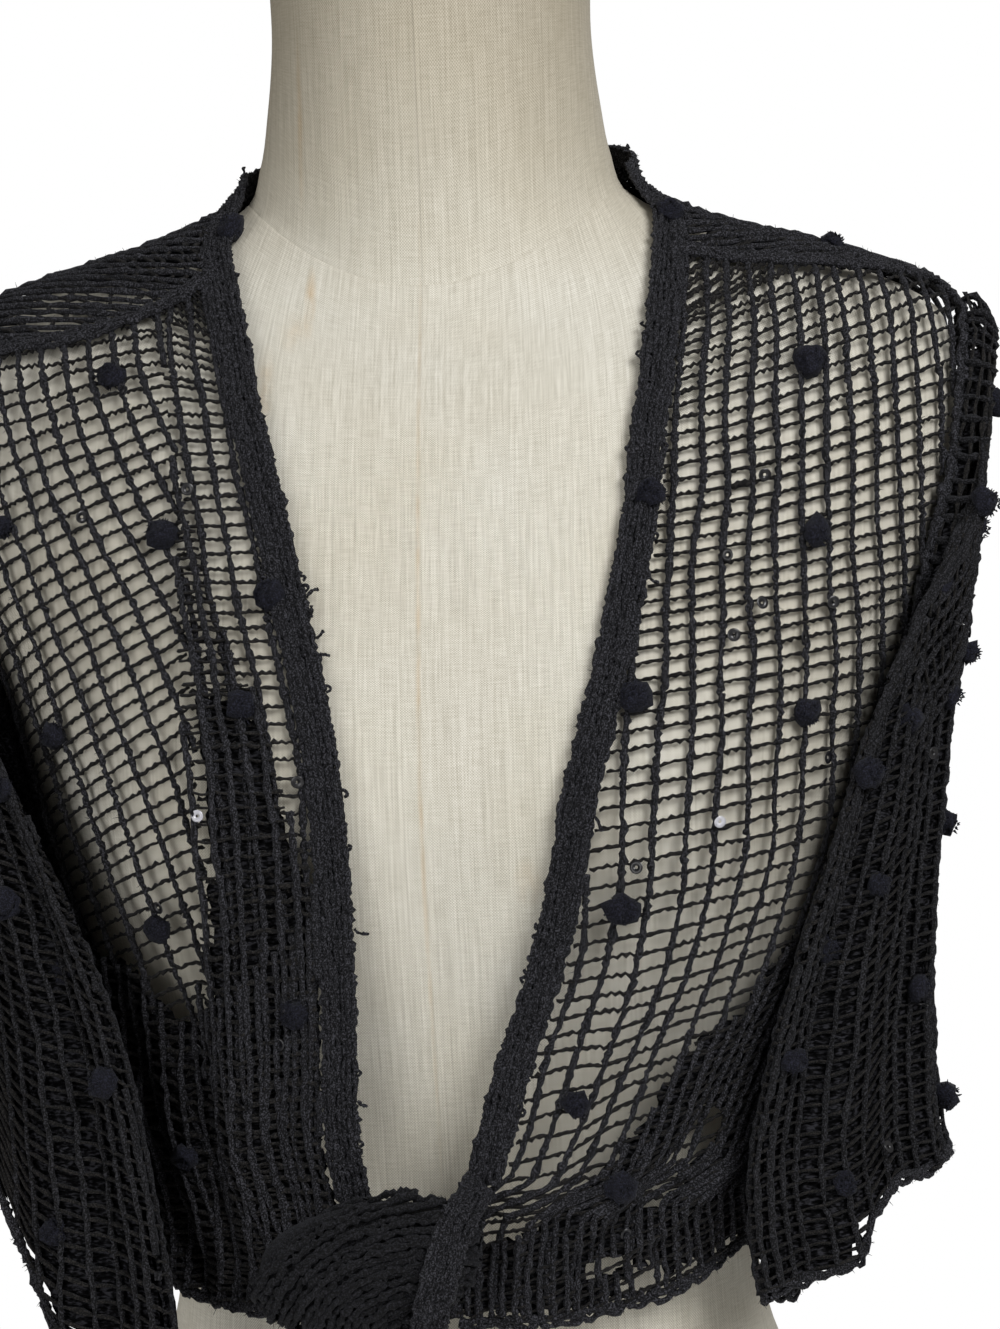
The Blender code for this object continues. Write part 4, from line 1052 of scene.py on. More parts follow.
# %% [markdown]
# ## The sleeves
# Each sleeve is a wide tube that starts at the armhole and hangs empty. A table holds one ring a
# row: its outermost point, its lowest point beside the body, its middle, its half depth, how far its
# ends curl in and how far its front drops. The rings are joined by smooth curves both ways, and the
# same knitting function lays the net on them, this time with distance round the sleeve as reach.

# %% Sleeve surfaces
SLEEVES = {
    "sleeve_left": (LEFT, (
        (0.197, 0.508, 0.1815, 0.3935, 0.001, 0.05, 0.0, 0.0, 0.0),
        (0.1965, 0.486, 0.179, 0.379, 0.001, 0.056, 0.005, 0.003, 0.0),
        (0.192, 0.46, 0.169, 0.362, 0.0, 0.061, 0.015, 0.006, 0.0),
        (0.1865, 0.428, 0.1595, 0.345, -0.001, 0.065, 0.022, 0.009, 0.001),
        (0.1815, 0.395, 0.1535, 0.327, -0.002, 0.069, 0.026, 0.012, 0.002),
        (0.177, 0.362, 0.148, 0.308, -0.003, 0.072, 0.03, 0.015, 0.003),
        (0.173, 0.33, 0.1425, 0.288, -0.004, 0.075, 0.035, 0.018, 0.005),
        (0.17, 0.298, 0.137, 0.268, -0.005, 0.078, 0.04, 0.021, 0.008),
        (0.1685, 0.268, 0.133, 0.246, -0.006, 0.08, 0.044, 0.023, 0.012),
        (0.169, 0.242, 0.13, 0.222, -0.007, 0.082, 0.045, 0.024, 0.012),
        (0.173, 0.216, 0.128, 0.194, -0.007, 0.084, 0.043, 0.024, 0.011),
    )),
    "sleeve_right": (RIGHT, (
        (0.197, 0.508, 0.1815, 0.3935, -0.012, 0.054, 0.002, 0.0, 0.0),
        (0.1975, 0.486, 0.179, 0.379, -0.012, 0.059, 0.006, 0.002, 0.0),
        (0.1935, 0.46, 0.169, 0.362, -0.014, 0.063, 0.013, 0.004, 0.0),
        (0.1885, 0.428, 0.1605, 0.345, -0.017, 0.067, 0.022, 0.008, 0.001),
        (0.184, 0.395, 0.1545, 0.327, -0.021, 0.071, 0.031, 0.011, 0.002),
        (0.18, 0.362, 0.149, 0.308, -0.025, 0.075, 0.04, 0.014, 0.003),
        (0.177, 0.33, 0.1435, 0.288, -0.028, 0.078, 0.048, 0.016, 0.005),
        (0.175, 0.3, 0.1398, 0.268, -0.031, 0.081, 0.055, 0.018, 0.008),
        (0.174, 0.274, 0.1368, 0.247, -0.034, 0.083, 0.06, 0.02, 0.016),
        (0.174, 0.252, 0.133, 0.224, -0.037, 0.085, 0.064, 0.021, 0.024),
        (0.175, 0.23, 0.13, 0.195, -0.038, 0.087, 0.067, 0.022, 0.033),
    )),
}
SLEEVE_SIDES = 36
ARMHOLE_INSET, CAP_LIFT, CAP_BULGE, CAP_RISE = 0.0013, 0.0065, 0.0035, 0.002


def armhole_ring(side, out, inset=ARMHOLE_INSET, count=SLEEVE_SIDES):
    """Points round an armhole: front, top, back, underarm."""
    levels = np.linspace(ARMHOLE[0, 0], ARMHOLE[-1, 0], 121)
    widths = smooth(RINGS, 3, levels)
    halves = []
    for edge in (front_end(levels + 1e-6, side), back_end(levels + 1e-6, side)):
        edge[-1] = edge[-2]
        steps = np.hypot(np.diff(np.radians(edge) * widths), np.diff(levels))
        run = np.concatenate([[0.0], np.cumsum(steps)])
        even = np.linspace(0, run[-1], count // 2 + 1)
        halves.append(np.stack([np.interp(even, run, edge), np.interp(even, run, levels)], -1))
    whole = np.roll(np.concatenate([halves[0][:-1], halves[1][:0:-1]]), -(count // 4), axis=0)
    half_width = smooth(RINGS, 3, whole[:, 1])
    flat = np.stack([np.radians(whole[:, 0]) * half_width, whole[:, 1]], -1)
    centre = (flat.max(axis=0) + flat.min(axis=0)) / 2
    reach = np.linalg.norm(flat - centre, axis=1, keepdims=True)
    flat = centre + (flat - centre) * (1 - inset / reach)
    return on_cloth(flat[:, 1], np.degrees(flat[:, 0] / half_width), side, out)


def sleeve_ring(row, share):
    out_x, out_z, under_x, under_z, y, half_depth, front_in, back_in, front_drop = row
    turn = np.arange(SLEEVE_SIDES) * 2 * math.pi / SLEEVE_SIDES
    c, s = np.cos(turn), np.sin(turn)
    folds = (0.0028 * np.sin(5 * turn + 0.7) + 0.0018 * np.sin(8 * turn + 2.01)) * share**1.2
    away = np.array([out_x - under_x, out_z - under_z]) / 2
    wide = 1 + folds / np.linalg.norm(away)
    x = (out_x + under_x) / 2 + wide * s * away[0] - np.where(c > 0, front_in, back_in) * np.abs(c) ** 3
    step = np.clip((c - 0.68) / 0.12, 0, 1)
    z = (out_z + under_z) / 2 + wide * s * away[1] - front_drop * step * step * (3 - 2 * step)
    return np.stack([x, y - (half_depth + folds) * c, z], -1)


def sleeve_rings(name):
    side, table = SLEEVES[name]
    mirror = np.array([side, 1.0, 1.0])
    hanging = [sleeve_ring(row, (k + 1) / len(table)) * mirror for k, row in enumerate(table)]
    seam, outwards = armhole_ring(side, CLEAR + 0.0012)
    top = np.clip(np.sin(np.arange(SLEEVE_SIDES) * 2 * math.pi / SLEEVE_SIDES), 0, 1)[:, None] ** 2
    lifted = seam + (CAP_LIFT - 0.0012 + CAP_RISE * top) * outwards
    bulge = (lifted + hanging[0]) / 2 + (CAP_BULGE + CAP_RISE * top) * outwards
    return np.array([seam, lifted, bulge] + hanging)


def curve_through(values, at, closed):
    """Smooth curve through values along their first axis."""
    count = len(values)
    i = np.floor(at).astype(int)
    t = (at - i).reshape((-1,) + (1,) * (values.ndim - 1))
    if closed:
        p = [values[(i + k) % count] for k in (-1, 0, 1, 2)]
    else:
        i = np.clip(i, 0, count - 2)
        t = (at - i).reshape(t.shape)
        p = [values[np.clip(i + k, 0, count - 1)] for k in (-1, 0, 1, 2)]
    return 0.5 * (2 * p[1] + (p[2] - p[0]) * t + (2 * p[0] - 5 * p[1] + 4 * p[2] - p[3]) * t**2
                  + (3 * p[1] - p[0] - 3 * p[2] + p[3]) * t**3)


ROUND, DOWN = 432, 300     # fine grid of a sleeve: round it and down it


def sleeve_surface(name):
    """Fine grid of a sleeve, evenly spaced down its length, and its outward directions."""
    side, _ = SLEEVES[name]
    turns = np.arange(ROUND) * SLEEVE_SIDES / ROUND
    rings = np.swapaxes(curve_through(np.swapaxes(sleeve_rings(name), 0, 1), turns, True), 0, 1)
    middle = rings.mean(axis=1)
    run = np.concatenate([[0.0], np.cumsum(np.linalg.norm(np.diff(middle, axis=0), axis=1))])
    even = np.interp(np.linspace(0, run[-1], DOWN), run, np.arange(len(rings)))
    grid = curve_through(rings, even, False)
    along = np.roll(grid, -1, axis=1) - np.roll(grid, 1, axis=1)
    normals = np.cross(np.gradient(grid, axis=0), along) * side
    normals /= np.linalg.norm(normals, axis=-1, keepdims=True) + 1e-12
    outwards = grid - grid.mean(axis=1, keepdims=True)
    normals *= np.where((normals * outwards).sum(axis=-1, keepdims=True) < 0, -1.0, 1.0)
    return grid, normals, run[-1]


def on_grid(grid, down, turn):
    """Values of a sleeve's grid at fractions of its length and of its round."""
    a = np.clip(down, 0, 1) * (DOWN - 1.001)
    b = np.mod(turn, 1.0) * ROUND
    i, j = a.astype(int), b.astype(int) % ROUND
    a, b = (a - i)[..., None], (b - np.floor(b))[..., None]
    k = (j + 1) % ROUND
    near = grid[i, j] * (1 - b) + grid[i, k] * b
    return near * (1 - a) + (grid[i + 1, j] * (1 - b) + grid[i + 1, k] * b) * a


# %% [markdown]
# A sleeve's net is finer than the body's: the rungs are closer and bow down between the cords,
# because nothing pulls them tight. Soft upright folds run all round. Folded net is closed to the
# eye, so an uneven wall of painted shade lies just under the cords, all but at the open cap, as a
# piece of its own. It stands for the folds behind, and a real sleeve has none. The sleeve's yarn is a
# darker copy of the chenille, also painted shade. The cuff isn't level: its outer part hangs shorter
# than the part by the body.

# %% Sleeves
SLEEVE_CELL, SLEEVE_RUNG = 0.0066, 0.004
CUFF = {                   # share of the round and share of the length where the cuff ends
    "sleeve_left": ((0.0, 1.0), (0.095, 1.0), (0.112, 0.955), (0.25, 0.968), (0.34, 1.0), (1.0, 1.0)),
    "sleeve_right": ((0.0, 1.0), (0.095, 1.0), (0.112, 0.955), (0.25, 1.0), (0.34, 1.0), (1.0, 1.0)),
}


def cuff_at(name, turn):
    return np.interp(np.mod(turn, 1.0), *np.array(CUFF[name]).T)


def sleeve(name, seed):
    side, _ = SLEEVES[name]
    grid, outwards, length = sleeve_surface(name)
    width = np.linalg.norm(np.diff(grid[DOWN // 2], axis=0), axis=1).sum()

    def surface(level, reach, out):
        turn, down = reach / width, level / length
        waves_round = 0.0016 * np.sin(2 * math.pi * 11 * turn + 1.3)
        waves_round = waves_round + 0.001 * np.sin(2 * math.pi * 19 * turn + 4.0)
        crease = waves_round * np.clip((down - 0.12) / 0.4, 0, 1)
        normals = on_grid(outwards, down, turn)
        return on_grid(grid, down, turn) + normals * (crease + out - 0.0008)[..., None], normals

    def inside(level, reach):
        end = length * cuff_at(name, reach / width)
        return (level > 0.002) & (level < end - 0.0005) & (reach >= 0) & (reach <= width)

    def closed(level, reach):
        turn = reach / width
        ragged = 0.038 + 0.006 * np.sin(50 * turn)
        open_cap = (np.abs(turn - 0.11) < 0.1) & (level > 0.01) & (level < ragged)
        open_cap |= (np.abs(turn - 0.37) < 0.11) & (level > 0.006) & (level < 0.06)
        within = (level > 0.001) & (level < length * cuff_at(name, turn) + 0.0005)
        return within & ~open_cap & (reach >= 0) & (reach <= width + 0.004)

    cords = round(width / SLEEVE_CELL)
    grain = np.array(((0.0, 1.0, 0.0, 0.0), (length * 0.5, 1.0, 0.0, 0.0), (length, 1.0, 0.0, 0.0)))
    layers = [net(surface, inside, grain, 0.0, width + 1e-4, 0.0, length, seed=seed, cell=width / cords,
                  rung=SLEEVE_RUNG, wale_steps=2, rung_steps=3, thick=0.98, fuzz=600)]
    walls = [shade_wall(surface, closed, (0.0, width + 0.004), 0.0, length, 0.0036, -0.0008, seed + 5)]
    made = finish_cloth(name + "_net", layers, walls, name, SHADED_YARN)
    print(name, "round %.3f m, length %.3f m" % (width, length))
    return made, grid, outwards, width, length


left_sleeve = sleeve("sleeve_left", 81)
right_sleeve = sleeve("sleeve_right", 101)

# %% [markdown]
# ## The edging
# A dense crocheted edge runs up one front, round the back neck and down the other. It is worked in
# rows of the same chenille, so seven cords lie side by side here. Loose fibres stand all over them:
# they break the outline, which a smooth tube never does.

# %% Cords side by side along a line
def even_line(points, normals, step, closed=False):
    """The same line with evenly spaced points, and directions square to it."""
    if closed:
        points, normals = [np.concatenate([v, v[:1]]) for v in (points, normals)]
    run = np.concatenate([[0.0], np.cumsum(np.linalg.norm(np.diff(points, axis=0), axis=1))])
    even = np.linspace(0, run[-1], max(4, int(run[-1] / step)))
    points = np.stack([np.interp(even, run, points[:, k]) for k in range(3)], -1)
    normals = np.stack([np.interp(even, run, normals[:, k]) for k in range(3)], -1)
    along = unit(np.gradient(points, axis=0))
    return points, unit(normals - along * (normals * along).sum(axis=1, keepdims=True))


def beside(points, normals):
    return np.cross(normals, unit(np.gradient(points, axis=0)))


def fat_cords(points, normals, places, radius, seed, sides=5, fuzz=0.28, wander=0.0003, rough=0.14):
    """Nubbly cords along one line. places has a sideways and an outward shift for each."""
    across = beside(points, normals)
    lines = []
    for k, (aside, out) in enumerate(places):
        shift = wander * rounded((2, len(points)), seed + k, 3)
        shift = shift + 0.6 * wander * rounded((2, len(points)), seed + k + 30, 1)
        lines.append(points + across * (aside + shift[0])[:, None] + normals * (out + shift[1])[:, None])
    lines = np.array(lines)
    thickness = radius * (1 + rough * rounded(lines.shape[:2], seed + 50, 1)).clip(0.6, 1.5)
    facing = np.broadcast_to(normals, lines.shape)
    return tubes(lines, facing, thickness, np.ones(lines.shape[:2], bool), sides, fuzz)


def fuzz_on(points, normals, spread, count, longest, seed):
    """Fibres scattered along a line, within a spread to each side of it."""
    chance = np.random.default_rng(seed)
    pick = chance.integers(1, len(points) - 1, count)
    across = beside(points, normals)[pick]
    turn = chance.uniform(-1.4, 1.4, count)[:, None]
    stray = 0.4 * chance.standard_normal((count, 3))
    away = unit(across * np.sin(turn) + normals[pick] * np.cos(turn) + stray)
    roots = points[pick] + across * np.sin(turn) * spread + normals[pick] * np.cos(turn) * 0.0008
    return fibres(roots, away, chance.uniform(0.3, 1.0, count) * longest)


def strip(points, normals, half_width, out, seed):
    """A closed uneven strip along a line, to stop light between the cords."""
    across = beside(points, normals)
    places = np.linspace(-1, 1, 5) * half_width
    grid = np.stack([points + across * aside + normals * out for aside in places], 1)
    grid = grid + 0.00025 * np.random.default_rng(seed).standard_normal(grid.shape)
    first = (np.arange(len(points) - 1)[:, None] * 5 + np.arange(4)).ravel()
    return grid.reshape(-1, 3), np.stack([first, first + 1, first + 6, first + 5], -1)


def dress(name, parts, material, node=None):
    """One object from several sets of tubes and on its body."""
    points, faces = join(parts)
    made = mesh_object(name, points, faces, material)
    if node is not None:
        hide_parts(node)
    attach(made, "root")
    print(name, len(faces), "triangles")
    return made


# %% Edging
def softened(values, width=9):
    """A table's line with its corners rounded."""
    padded = np.concatenate([np.full(width, values[0]), values, np.full(width, values[-1])])
    kernel = np.hanning(2 * width + 1)
    return np.convolve(padded, kernel / kernel.sum(), mode="same")[width:-width]


def edging_path(out):
    """Points and directions along the whole edging, from the knot to the knot."""
    left, right_side = edging_line(LEFT), edging_line(RIGHT)
    levels = np.concatenate([left[0], right_side[0][-2::-1]])
    degrees = np.concatenate([left[1], 180.0 - right_side[1][-2::-1]])
    fine = np.linspace(0, len(levels) - 1, 900)
    levels, degrees = [softened(np.interp(fine, np.arange(len(levels)), v)) for v in (levels, degrees)]
    points, normals = on_cloth(levels, degrees, LEFT, CLEAR + out)
    tucked = points[-1] + np.array(((0.001, 0.0, -0.006), (0.003, 0.002, -0.013), (0.005, 0.005, -0.021)))
    return even_line(np.concatenate([points, tucked]), np.concatenate([normals, normals[-3:]]), 0.0011)


band, band_out = edging_path(0.0021)
edging_places = ((-0.0052, 0.0), (-0.0037, 0.0005), (-0.0021, 0.0006), (-0.0005, 0.0001),
                 (0.0014, 0.0001), (0.0032, 0.0006), (0.0048, 0.0002))
edging = dress("edging", [
    fat_cords(band, band_out, edging_places, 0.00112, seed=201, sides=4, wander=0.0002, rough=0.24),
    strip(band[::2], band_out[::2], 0.0048, -0.0006, 206),
    fuzz_on(band, band_out, 0.0054, 5000, 0.0014, seed=211),
], CHENILLE, "front_edging")
print("edging %.3f m long" % np.linalg.norm(np.diff(band, axis=0), axis=1).sum())

# %% [markdown]
# Nothing in hand work is even: the edge has small loops where the hook skipped a stitch, and short
# cut ends of yarn. They stick out of the inner edge, some over the bare linen. Each is a short bent
# cord of its own.

# %% Loops and yarn ends
def loops_on(points, normals, places, aside, seed, smallest=0.0009, largest=0.0018):
    """Little bent cords that leave a line at given shares of its length and come back."""
    chance = np.random.default_rng(seed)
    across = beside(points, normals)
    lines, facing = [], []
    for share in places:
        k = int(share * (len(points) - 8)) + 3
        size = chance.uniform(smallest, largest)
        turn = np.linspace(0, math.pi * chance.uniform(0.8, 1.15), 8)
        along = unit(points[k + 1] - points[k - 1])
        away = across[k] * np.sign(aside)
        lines.append(points[k] + across[k] * aside + np.outer(np.sin(turn) * size, away)
                     + np.outer((1 - np.cos(turn)) * size * 0.7, along) + normals[k] * 0.0004)
        facing.append(np.broadcast_to(normals[k], (8, 3)))
    lines = np.array(lines)
    return tubes(lines, np.array(facing), 0.00055, np.ones(lines.shape[:2], bool), 4, 0.35)


def yarn_ends(points, normals, places, aside, seed):
    """Short crinkled ends that stand off a line."""
    chance = np.random.default_rng(seed)
    across = beside(points, normals)
    lines, facing = [], []
    for share in places:
        k = int(share * (len(points) - 8)) + 3
        run = np.linspace(0, chance.uniform(0.0025, 0.0055), 9)[:, None]
        away = unit(across[k] * np.sign(aside) + 0.6 * chance.standard_normal(3) * (1, 0.3, 1))
        wave = 0.0004 * np.sin(run / 0.0009 + chance.uniform(0, 6)) * unit(points[k + 1] - points[k - 1])
        lines.append(points[k] + across[k] * aside + run * away + wave + normals[k] * 0.0006)
        facing.append(np.broadcast_to(normals[k], (9, 3)))
    lines = np.array(lines)
    return tubes(lines, np.array(facing), 0.0006, np.ones(lines.shape[:2], bool), 4, 0.45)


chance = np.random.default_rng(5)
loops = dress("edging_loops", [
    loops_on(band, band_out, chance.uniform(0.02, 0.97, 24), 0.0056, 221),
    loops_on(band, band_out, chance.uniform(0.02, 0.97, 24), -0.0056, 231),
    yarn_ends(band, band_out, (0.792, 0.8, 0.806, 0.812, 0.6, 0.9, 0.955), 0.006, 236),
    yarn_ends(band, band_out, (0.796, 0.803, 0.809, 0.2, 0.35, 0.12), -0.006, 238),
], CHENILLE)

# %% [markdown]
# ## Seams and cast-off edges
# The sleeves are crocheted into the armholes and the shoulders are joined the same way, which
# leaves a thick double cord. The hem and the cuffs end in a cast-off row that scallops a little
# between one cord of the net and the next. Both also close off the open ends of the net.

# %% Seams
def shoulder_line(side):
    """The shoulder seam, from the armhole to where the edging covers it."""
    levels = np.linspace(0.5262, 0.5715, 160)
    degrees = -smooth(SHOULDER, 1 if side == LEFT else 2, levels)
    bare = degrees > v_degrees(levels, side, EDGING * 0.6)
    return even_line(*on_cloth(levels[bare], degrees[bare], side, CLEAR + 0.0022), 0.0012)


def armhole_line(side):
    ring, ring_out = armhole_ring(side, CLEAR + 0.003)
    turns = np.linspace(0, SLEEVE_SIDES, 361)[:-1]
    return even_line(curve_through(ring, turns, True), curve_through(ring_out, turns, True), 0.0012, True)


seam_parts = []
for number, side in enumerate((LEFT, RIGHT)):
    line = shoulder_line(side)
    shoulder_places = ((-0.002, 0.0), (0.0, 0.0004), (0.002, 0.0))
    seam_parts.append(fat_cords(*line, shoulder_places, 0.0014, seed=241 + number))
    seam_parts.append(fuzz_on(*line, 0.003, 200, 0.002, seed=245 + number))
    line = armhole_line(side)
    armhole_places = ((-0.0034, 0.0), (-0.0014, 0.0004), (0.0006, 0.0006), (0.0028, 0.0002))
    seam_parts.append(fat_cords(*line, armhole_places, 0.0014, seed=251 + number, sides=4, rough=0.24))
    seam_parts.append(fuzz_on(*line, 0.0028, 500, 0.0022, seed=255 + number))
seams = dress("seams", seam_parts, CHENILLE)


# %% Hem and cuffs
def scalloped(points, normals, closed, seed):
    """A cast-off row: two cords whose lower one dips between the net's cords."""
    points, normals = even_line(points, normals, 0.0013, closed)
    run = np.concatenate([[0.0], np.cumsum(np.linalg.norm(np.diff(points, axis=0), axis=1))])
    dip = np.abs(np.sin(run / CELL * math.pi))[:, None] * np.array([0.0, 0.0, -0.0014])
    upper = fat_cords(points, normals, ((0.0, 0.0),), 0.0014, seed)
    lower = fat_cords(points + dip - (0, 0, 0.0012), normals, ((0.0, 0.0),), 0.0011, seed + 3)
    return [upper, lower, fuzz_on(points - (0, 0, 0.0012), normals, 0.0015, 300, 0.002, seed + 6)]


hem_ends = [float(v_degrees(0.192, side, 0.002)) for side in (LEFT, RIGHT)]
hem_degrees = np.linspace(hem_ends[0], 180.0 - hem_ends[1], 900)
hem_level = np.full(900, 0.1905)
for _ in range(20):
    point = on_form(hem_level, hem_degrees)
    hem_level = hem_level + 0.5 * (hem_height(point[:, 0], np.sin(np.radians(hem_degrees))) - point[:, 2])
hem_parts = scalloped(*on_cloth(softened(hem_level, 12), hem_degrees, LEFT, CLEAR + 0.0014), False, 271)
for name, sleeve_made in (("sleeve_left", left_sleeve), ("sleeve_right", right_sleeve)):
    made, grid, outwards, width, length = sleeve_made
    turns = np.arange(ROUND) / ROUND
    end = cuff_at(name, turns) * 0.994
    hem_parts += scalloped(on_grid(grid, end, turns), on_grid(outwards, end, turns), True, 281)
hems = dress("cast_off_edges", hem_parts, CHENILLE)

# %% [markdown]
# ## The knot
# The right front crosses over and wraps the left one, so the knot is a tight roll of net whose cords
# all run the same way, from its lower right round to its left end. It could be sculpted, but it is
# plain geometry: slices of an oval lump, cut along ever larger arcs, give one strand each. A plain
# lump just inside them keeps light from coming through.

# %% Knot
KNOT_CENTRE = np.array([-0.0225, -0.1215, 0.213])
KNOT_HALF = np.array([0.0362, 0.015, 0.0205])
KNOT_TILT = 0.12
ARC_CENTRE = np.array([-0.001, 0.186])


def knot_depth(x, z):
    """How far the lump's skin is from its middle plane at x, z. It is negative outside."""
    across = (x - KNOT_CENTRE[0]) / KNOT_HALF[0]
    upright = (z - KNOT_CENTRE[2] - KNOT_TILT * (x - KNOT_CENTRE[0])) / KNOT_HALF[2]
    return 1.0 - np.abs(across) ** 2.6 - np.abs(upright) ** 2.3


def strand(reach):
    """A closed strand round the lump along one arc."""
    turn = np.radians(np.linspace(40.0, 215.0, 500))
    x = ARC_CENTRE[0] + reach * np.cos(turn)
    z = ARC_CENTRE[1] + reach * 0.8 * np.sin(turn)
    depth = knot_depth(x, z)
    x, z, depth = [v[depth > 0.0] for v in (x, z, depth)]
    if len(x) < 12:
        return None
    swell = KNOT_HALF[1] * depth ** 0.45
    front = np.stack([x, KNOT_CENTRE[1] - swell, z], -1)
    behind = np.stack([x, KNOT_CENTRE[1] + 0.9 * swell, z], -1)[::-1]
    return np.concatenate([front, behind])


knot_parts = []
for k, reach in enumerate(np.arange(0.006, 0.064, 0.0026)):
    line = strand(reach)
    if line is None:
        continue
    line, facing = even_line(line, unit(line - KNOT_CENTRE), 0.0012, True)
    knot_parts.append(fat_cords(line, facing, ((0.0, 0.0007 * math.sin(2.2 * k)),), 0.00125, seed=301 + k,
                                fuzz=0.3, wander=0.0003, rough=0.22))
    knot_parts.append(fuzz_on(line, facing, 0.001, 90, 0.0016, seed=331 + k))
u = np.radians(np.linspace(-85, 85, 17))[:, None]
v = np.linspace(0, 2 * math.pi, 25)[None, :]
slim = np.cos(u) ** 0.7
core = np.stack([
    KNOT_CENTRE[0] + 0.95 * KNOT_HALF[0] * np.sin(u) + 0 * v,
    KNOT_CENTRE[1] + 0.88 * KNOT_HALF[1] * slim * np.cos(v),
    KNOT_CENTRE[2] + 0.92 * KNOT_HALF[2] * slim * np.sin(v) + KNOT_TILT * KNOT_HALF[0] * np.sin(u),
], -1)
first = (np.arange(16)[:, None] * 25 + np.arange(24)).ravel()
knot_parts.append((core.reshape(-1, 3), np.stack([first, first + 1, first + 26, first + 25], -1)))
# The knot's yarn is the chenille made darker: painted shade.
knot = dress("knot_wrap", knot_parts, SHADED_KNOT_YARN, "knot")

# %% [markdown]
# The left front's edging comes down over the knot's end, where it holds the wrap, and the two
# corners of the shrug hang out below as short gathered ends.

# %% Edging over the knot, and tie ends
over_knot = np.array((
    (*band[0], ),
    (0.0085, -0.129, 0.227),
    (0.0035, -0.1372, 0.213),
    (-0.0005, -0.1368, 0.199),
    (-0.002, -0.13, 0.188),
))
over_knot = curve_through(over_knot, np.linspace(0, 4 - 1e-6, 60), False)
over_knot, over_out = even_line(over_knot, np.tile((0.25, -1.0, 0.1), (60, 1)), 0.0011)
over = dress("edging_over_knot", [
    fat_cords(over_knot, over_out, edging_places, 0.00115, seed=361, sides=4, wander=0.0002, rough=0.24),
    strip(over_knot, over_out, 0.0048, -0.0006, 366),
    fuzz_on(over_knot, over_out, 0.0056, 420, 0.0018, seed=371),
], CHENILLE)

TIE_ENDS = {               # x, y, z, half width, half thickness
    "tie_end_left": (
        (-0.013, -0.1195, 0.195, 0.007, 0.0055),
        (-0.011, -0.1185, 0.174, 0.0095, 0.005),
        (-0.007, -0.116, 0.154, 0.0125, 0.0045),
        (-0.002, -0.114, 0.136, 0.014, 0.004),
    ),
    "tie_end_right": (
        (-0.034, -0.119, 0.193, 0.007, 0.0055),
        (-0.037, -0.1175, 0.173, 0.0095, 0.005),
        (-0.042, -0.115, 0.156, 0.012, 0.0045),
        (-0.048, -0.113, 0.14, 0.013, 0.004),
    ),
}
for number, (name, table) in enumerate(TIE_ENDS.items()):
    rows = curve_through(np.array(table), np.linspace(0, 3 - 1e-6, 44), False)
    middle, half_width, half_thick = rows[:, :3], rows[:, 3:4], rows[:, 4:5]
    parts = []
    for k in range(12):
        angle = k * math.pi / 6
        aside, out = math.cos(angle) * (half_width - 0.0013), math.sin(angle) * (half_thick - 0.0013)
        cord = middle + aside * np.array([1.0, 0.0, 0.0]) + out * np.array([0.0, -1.0, 0.0])
        facing = np.tile((math.cos(angle), -math.sin(angle) - 0.01, 0.0), (44, 1))
        parts.append(fat_cords(cord, facing, ((0.0, 0.0),), 0.0014, seed=401 + 20 * number + k))
        parts.append(fuzz_on(cord, facing, 0.001, 60, 0.002, seed=441 + 20 * number + k))
    dress(name + "_cords", parts, CHENILLE, name)

# %% [markdown]
# ## Tufts
# The yarn itself has a fluffy tuft at every repeat, so the tufts fall in loose rows down the cords.
# Each is a small lumpy cushion with a coat of fibres. A search over the cloth finds the point and
# the outward direction for every place in the tables.

# %% Places on the cloth
scan_level, scan_degrees = np.meshgrid(np.linspace(0.186, 0.575, 330), np.linspace(-90, 90, 260),
                                       indexing="ij")
SCAN = {side: on_cloth(scan_level, scan_degrees, side) for side in (LEFT, RIGHT)}


def spot(x, z, facing):
    """Point and outward direction of the cloth at x, z in front (-1) or behind (1)."""
    points, normals = SCAN[LEFT if x >= 0 else RIGHT]
    miss = (points[..., 0] - x) ** 2 + (points[..., 2] - z) ** 2 + (points[..., 1] * facing < 0)
    k = np.unravel_index(np.argmin(miss), miss.shape)
    return points[k], normals[k]


FRONT_TUFTS = (
    (0.132, 0.503), (0.1295, 0.444), (0.1245, 0.385), (0.076, 0.458), (0.07, 0.392),
    (0.063, 0.325), (0.045, 0.2615), (0.059, 0.233), (0.1425, 0.55), (0.086, 0.56),
    (-0.109, 0.507), (-0.087, 0.451), (-0.128, 0.3845), (-0.089, 0.321), (-0.146, 0.456),
    (-0.05, 0.429), (-0.059, 0.392), (-0.0445, 0.293), (-0.112, 0.27), (-0.084, 0.242),
    (-0.07, 0.562),
)
BACK_TUFTS = (             # x and z at the top and at the bottom of a row
    (-0.152, 0.485, -0.1, 0.215),
    (-0.11, 0.54, -0.075, 0.22),
    (-0.058, 0.555, -0.038, 0.23),
    (-0.004, 0.545, -0.002, 0.215),
    (0.05, 0.56, 0.036, 0.235),
    (0.1, 0.545, 0.072, 0.22),
    (0.148, 0.5, 0.104, 0.23),
)
tuft_spots = [spot(x, z, -1) for x, z in FRONT_TUFTS]
for x_top, z_top, x_bottom, z_bottom in BACK_TUFTS:
    for z in np.arange(z_top, z_bottom, -0.059):
        tuft_spots.append(spot(x_top + (x_bottom - x_top) * (z_top - z) / (z_top - z_bottom), z, 1))
for made, grid, outwards, width, length in (left_sleeve, right_sleeve):
    for row, share in enumerate(np.arange(0.1, 0.97, 0.16)):
        for turn in np.arange(0.03, 1.0, 0.14) + 0.06 * (row % 2):
            place = (np.array(share), np.array(turn))
            tuft_spots.append((on_grid(grid, *place), on_grid(outwards, *place)))
tuft_points, tuft_out = [np.array(v) for v in zip(*tuft_spots)]
print(len(tuft_points), "tufts")


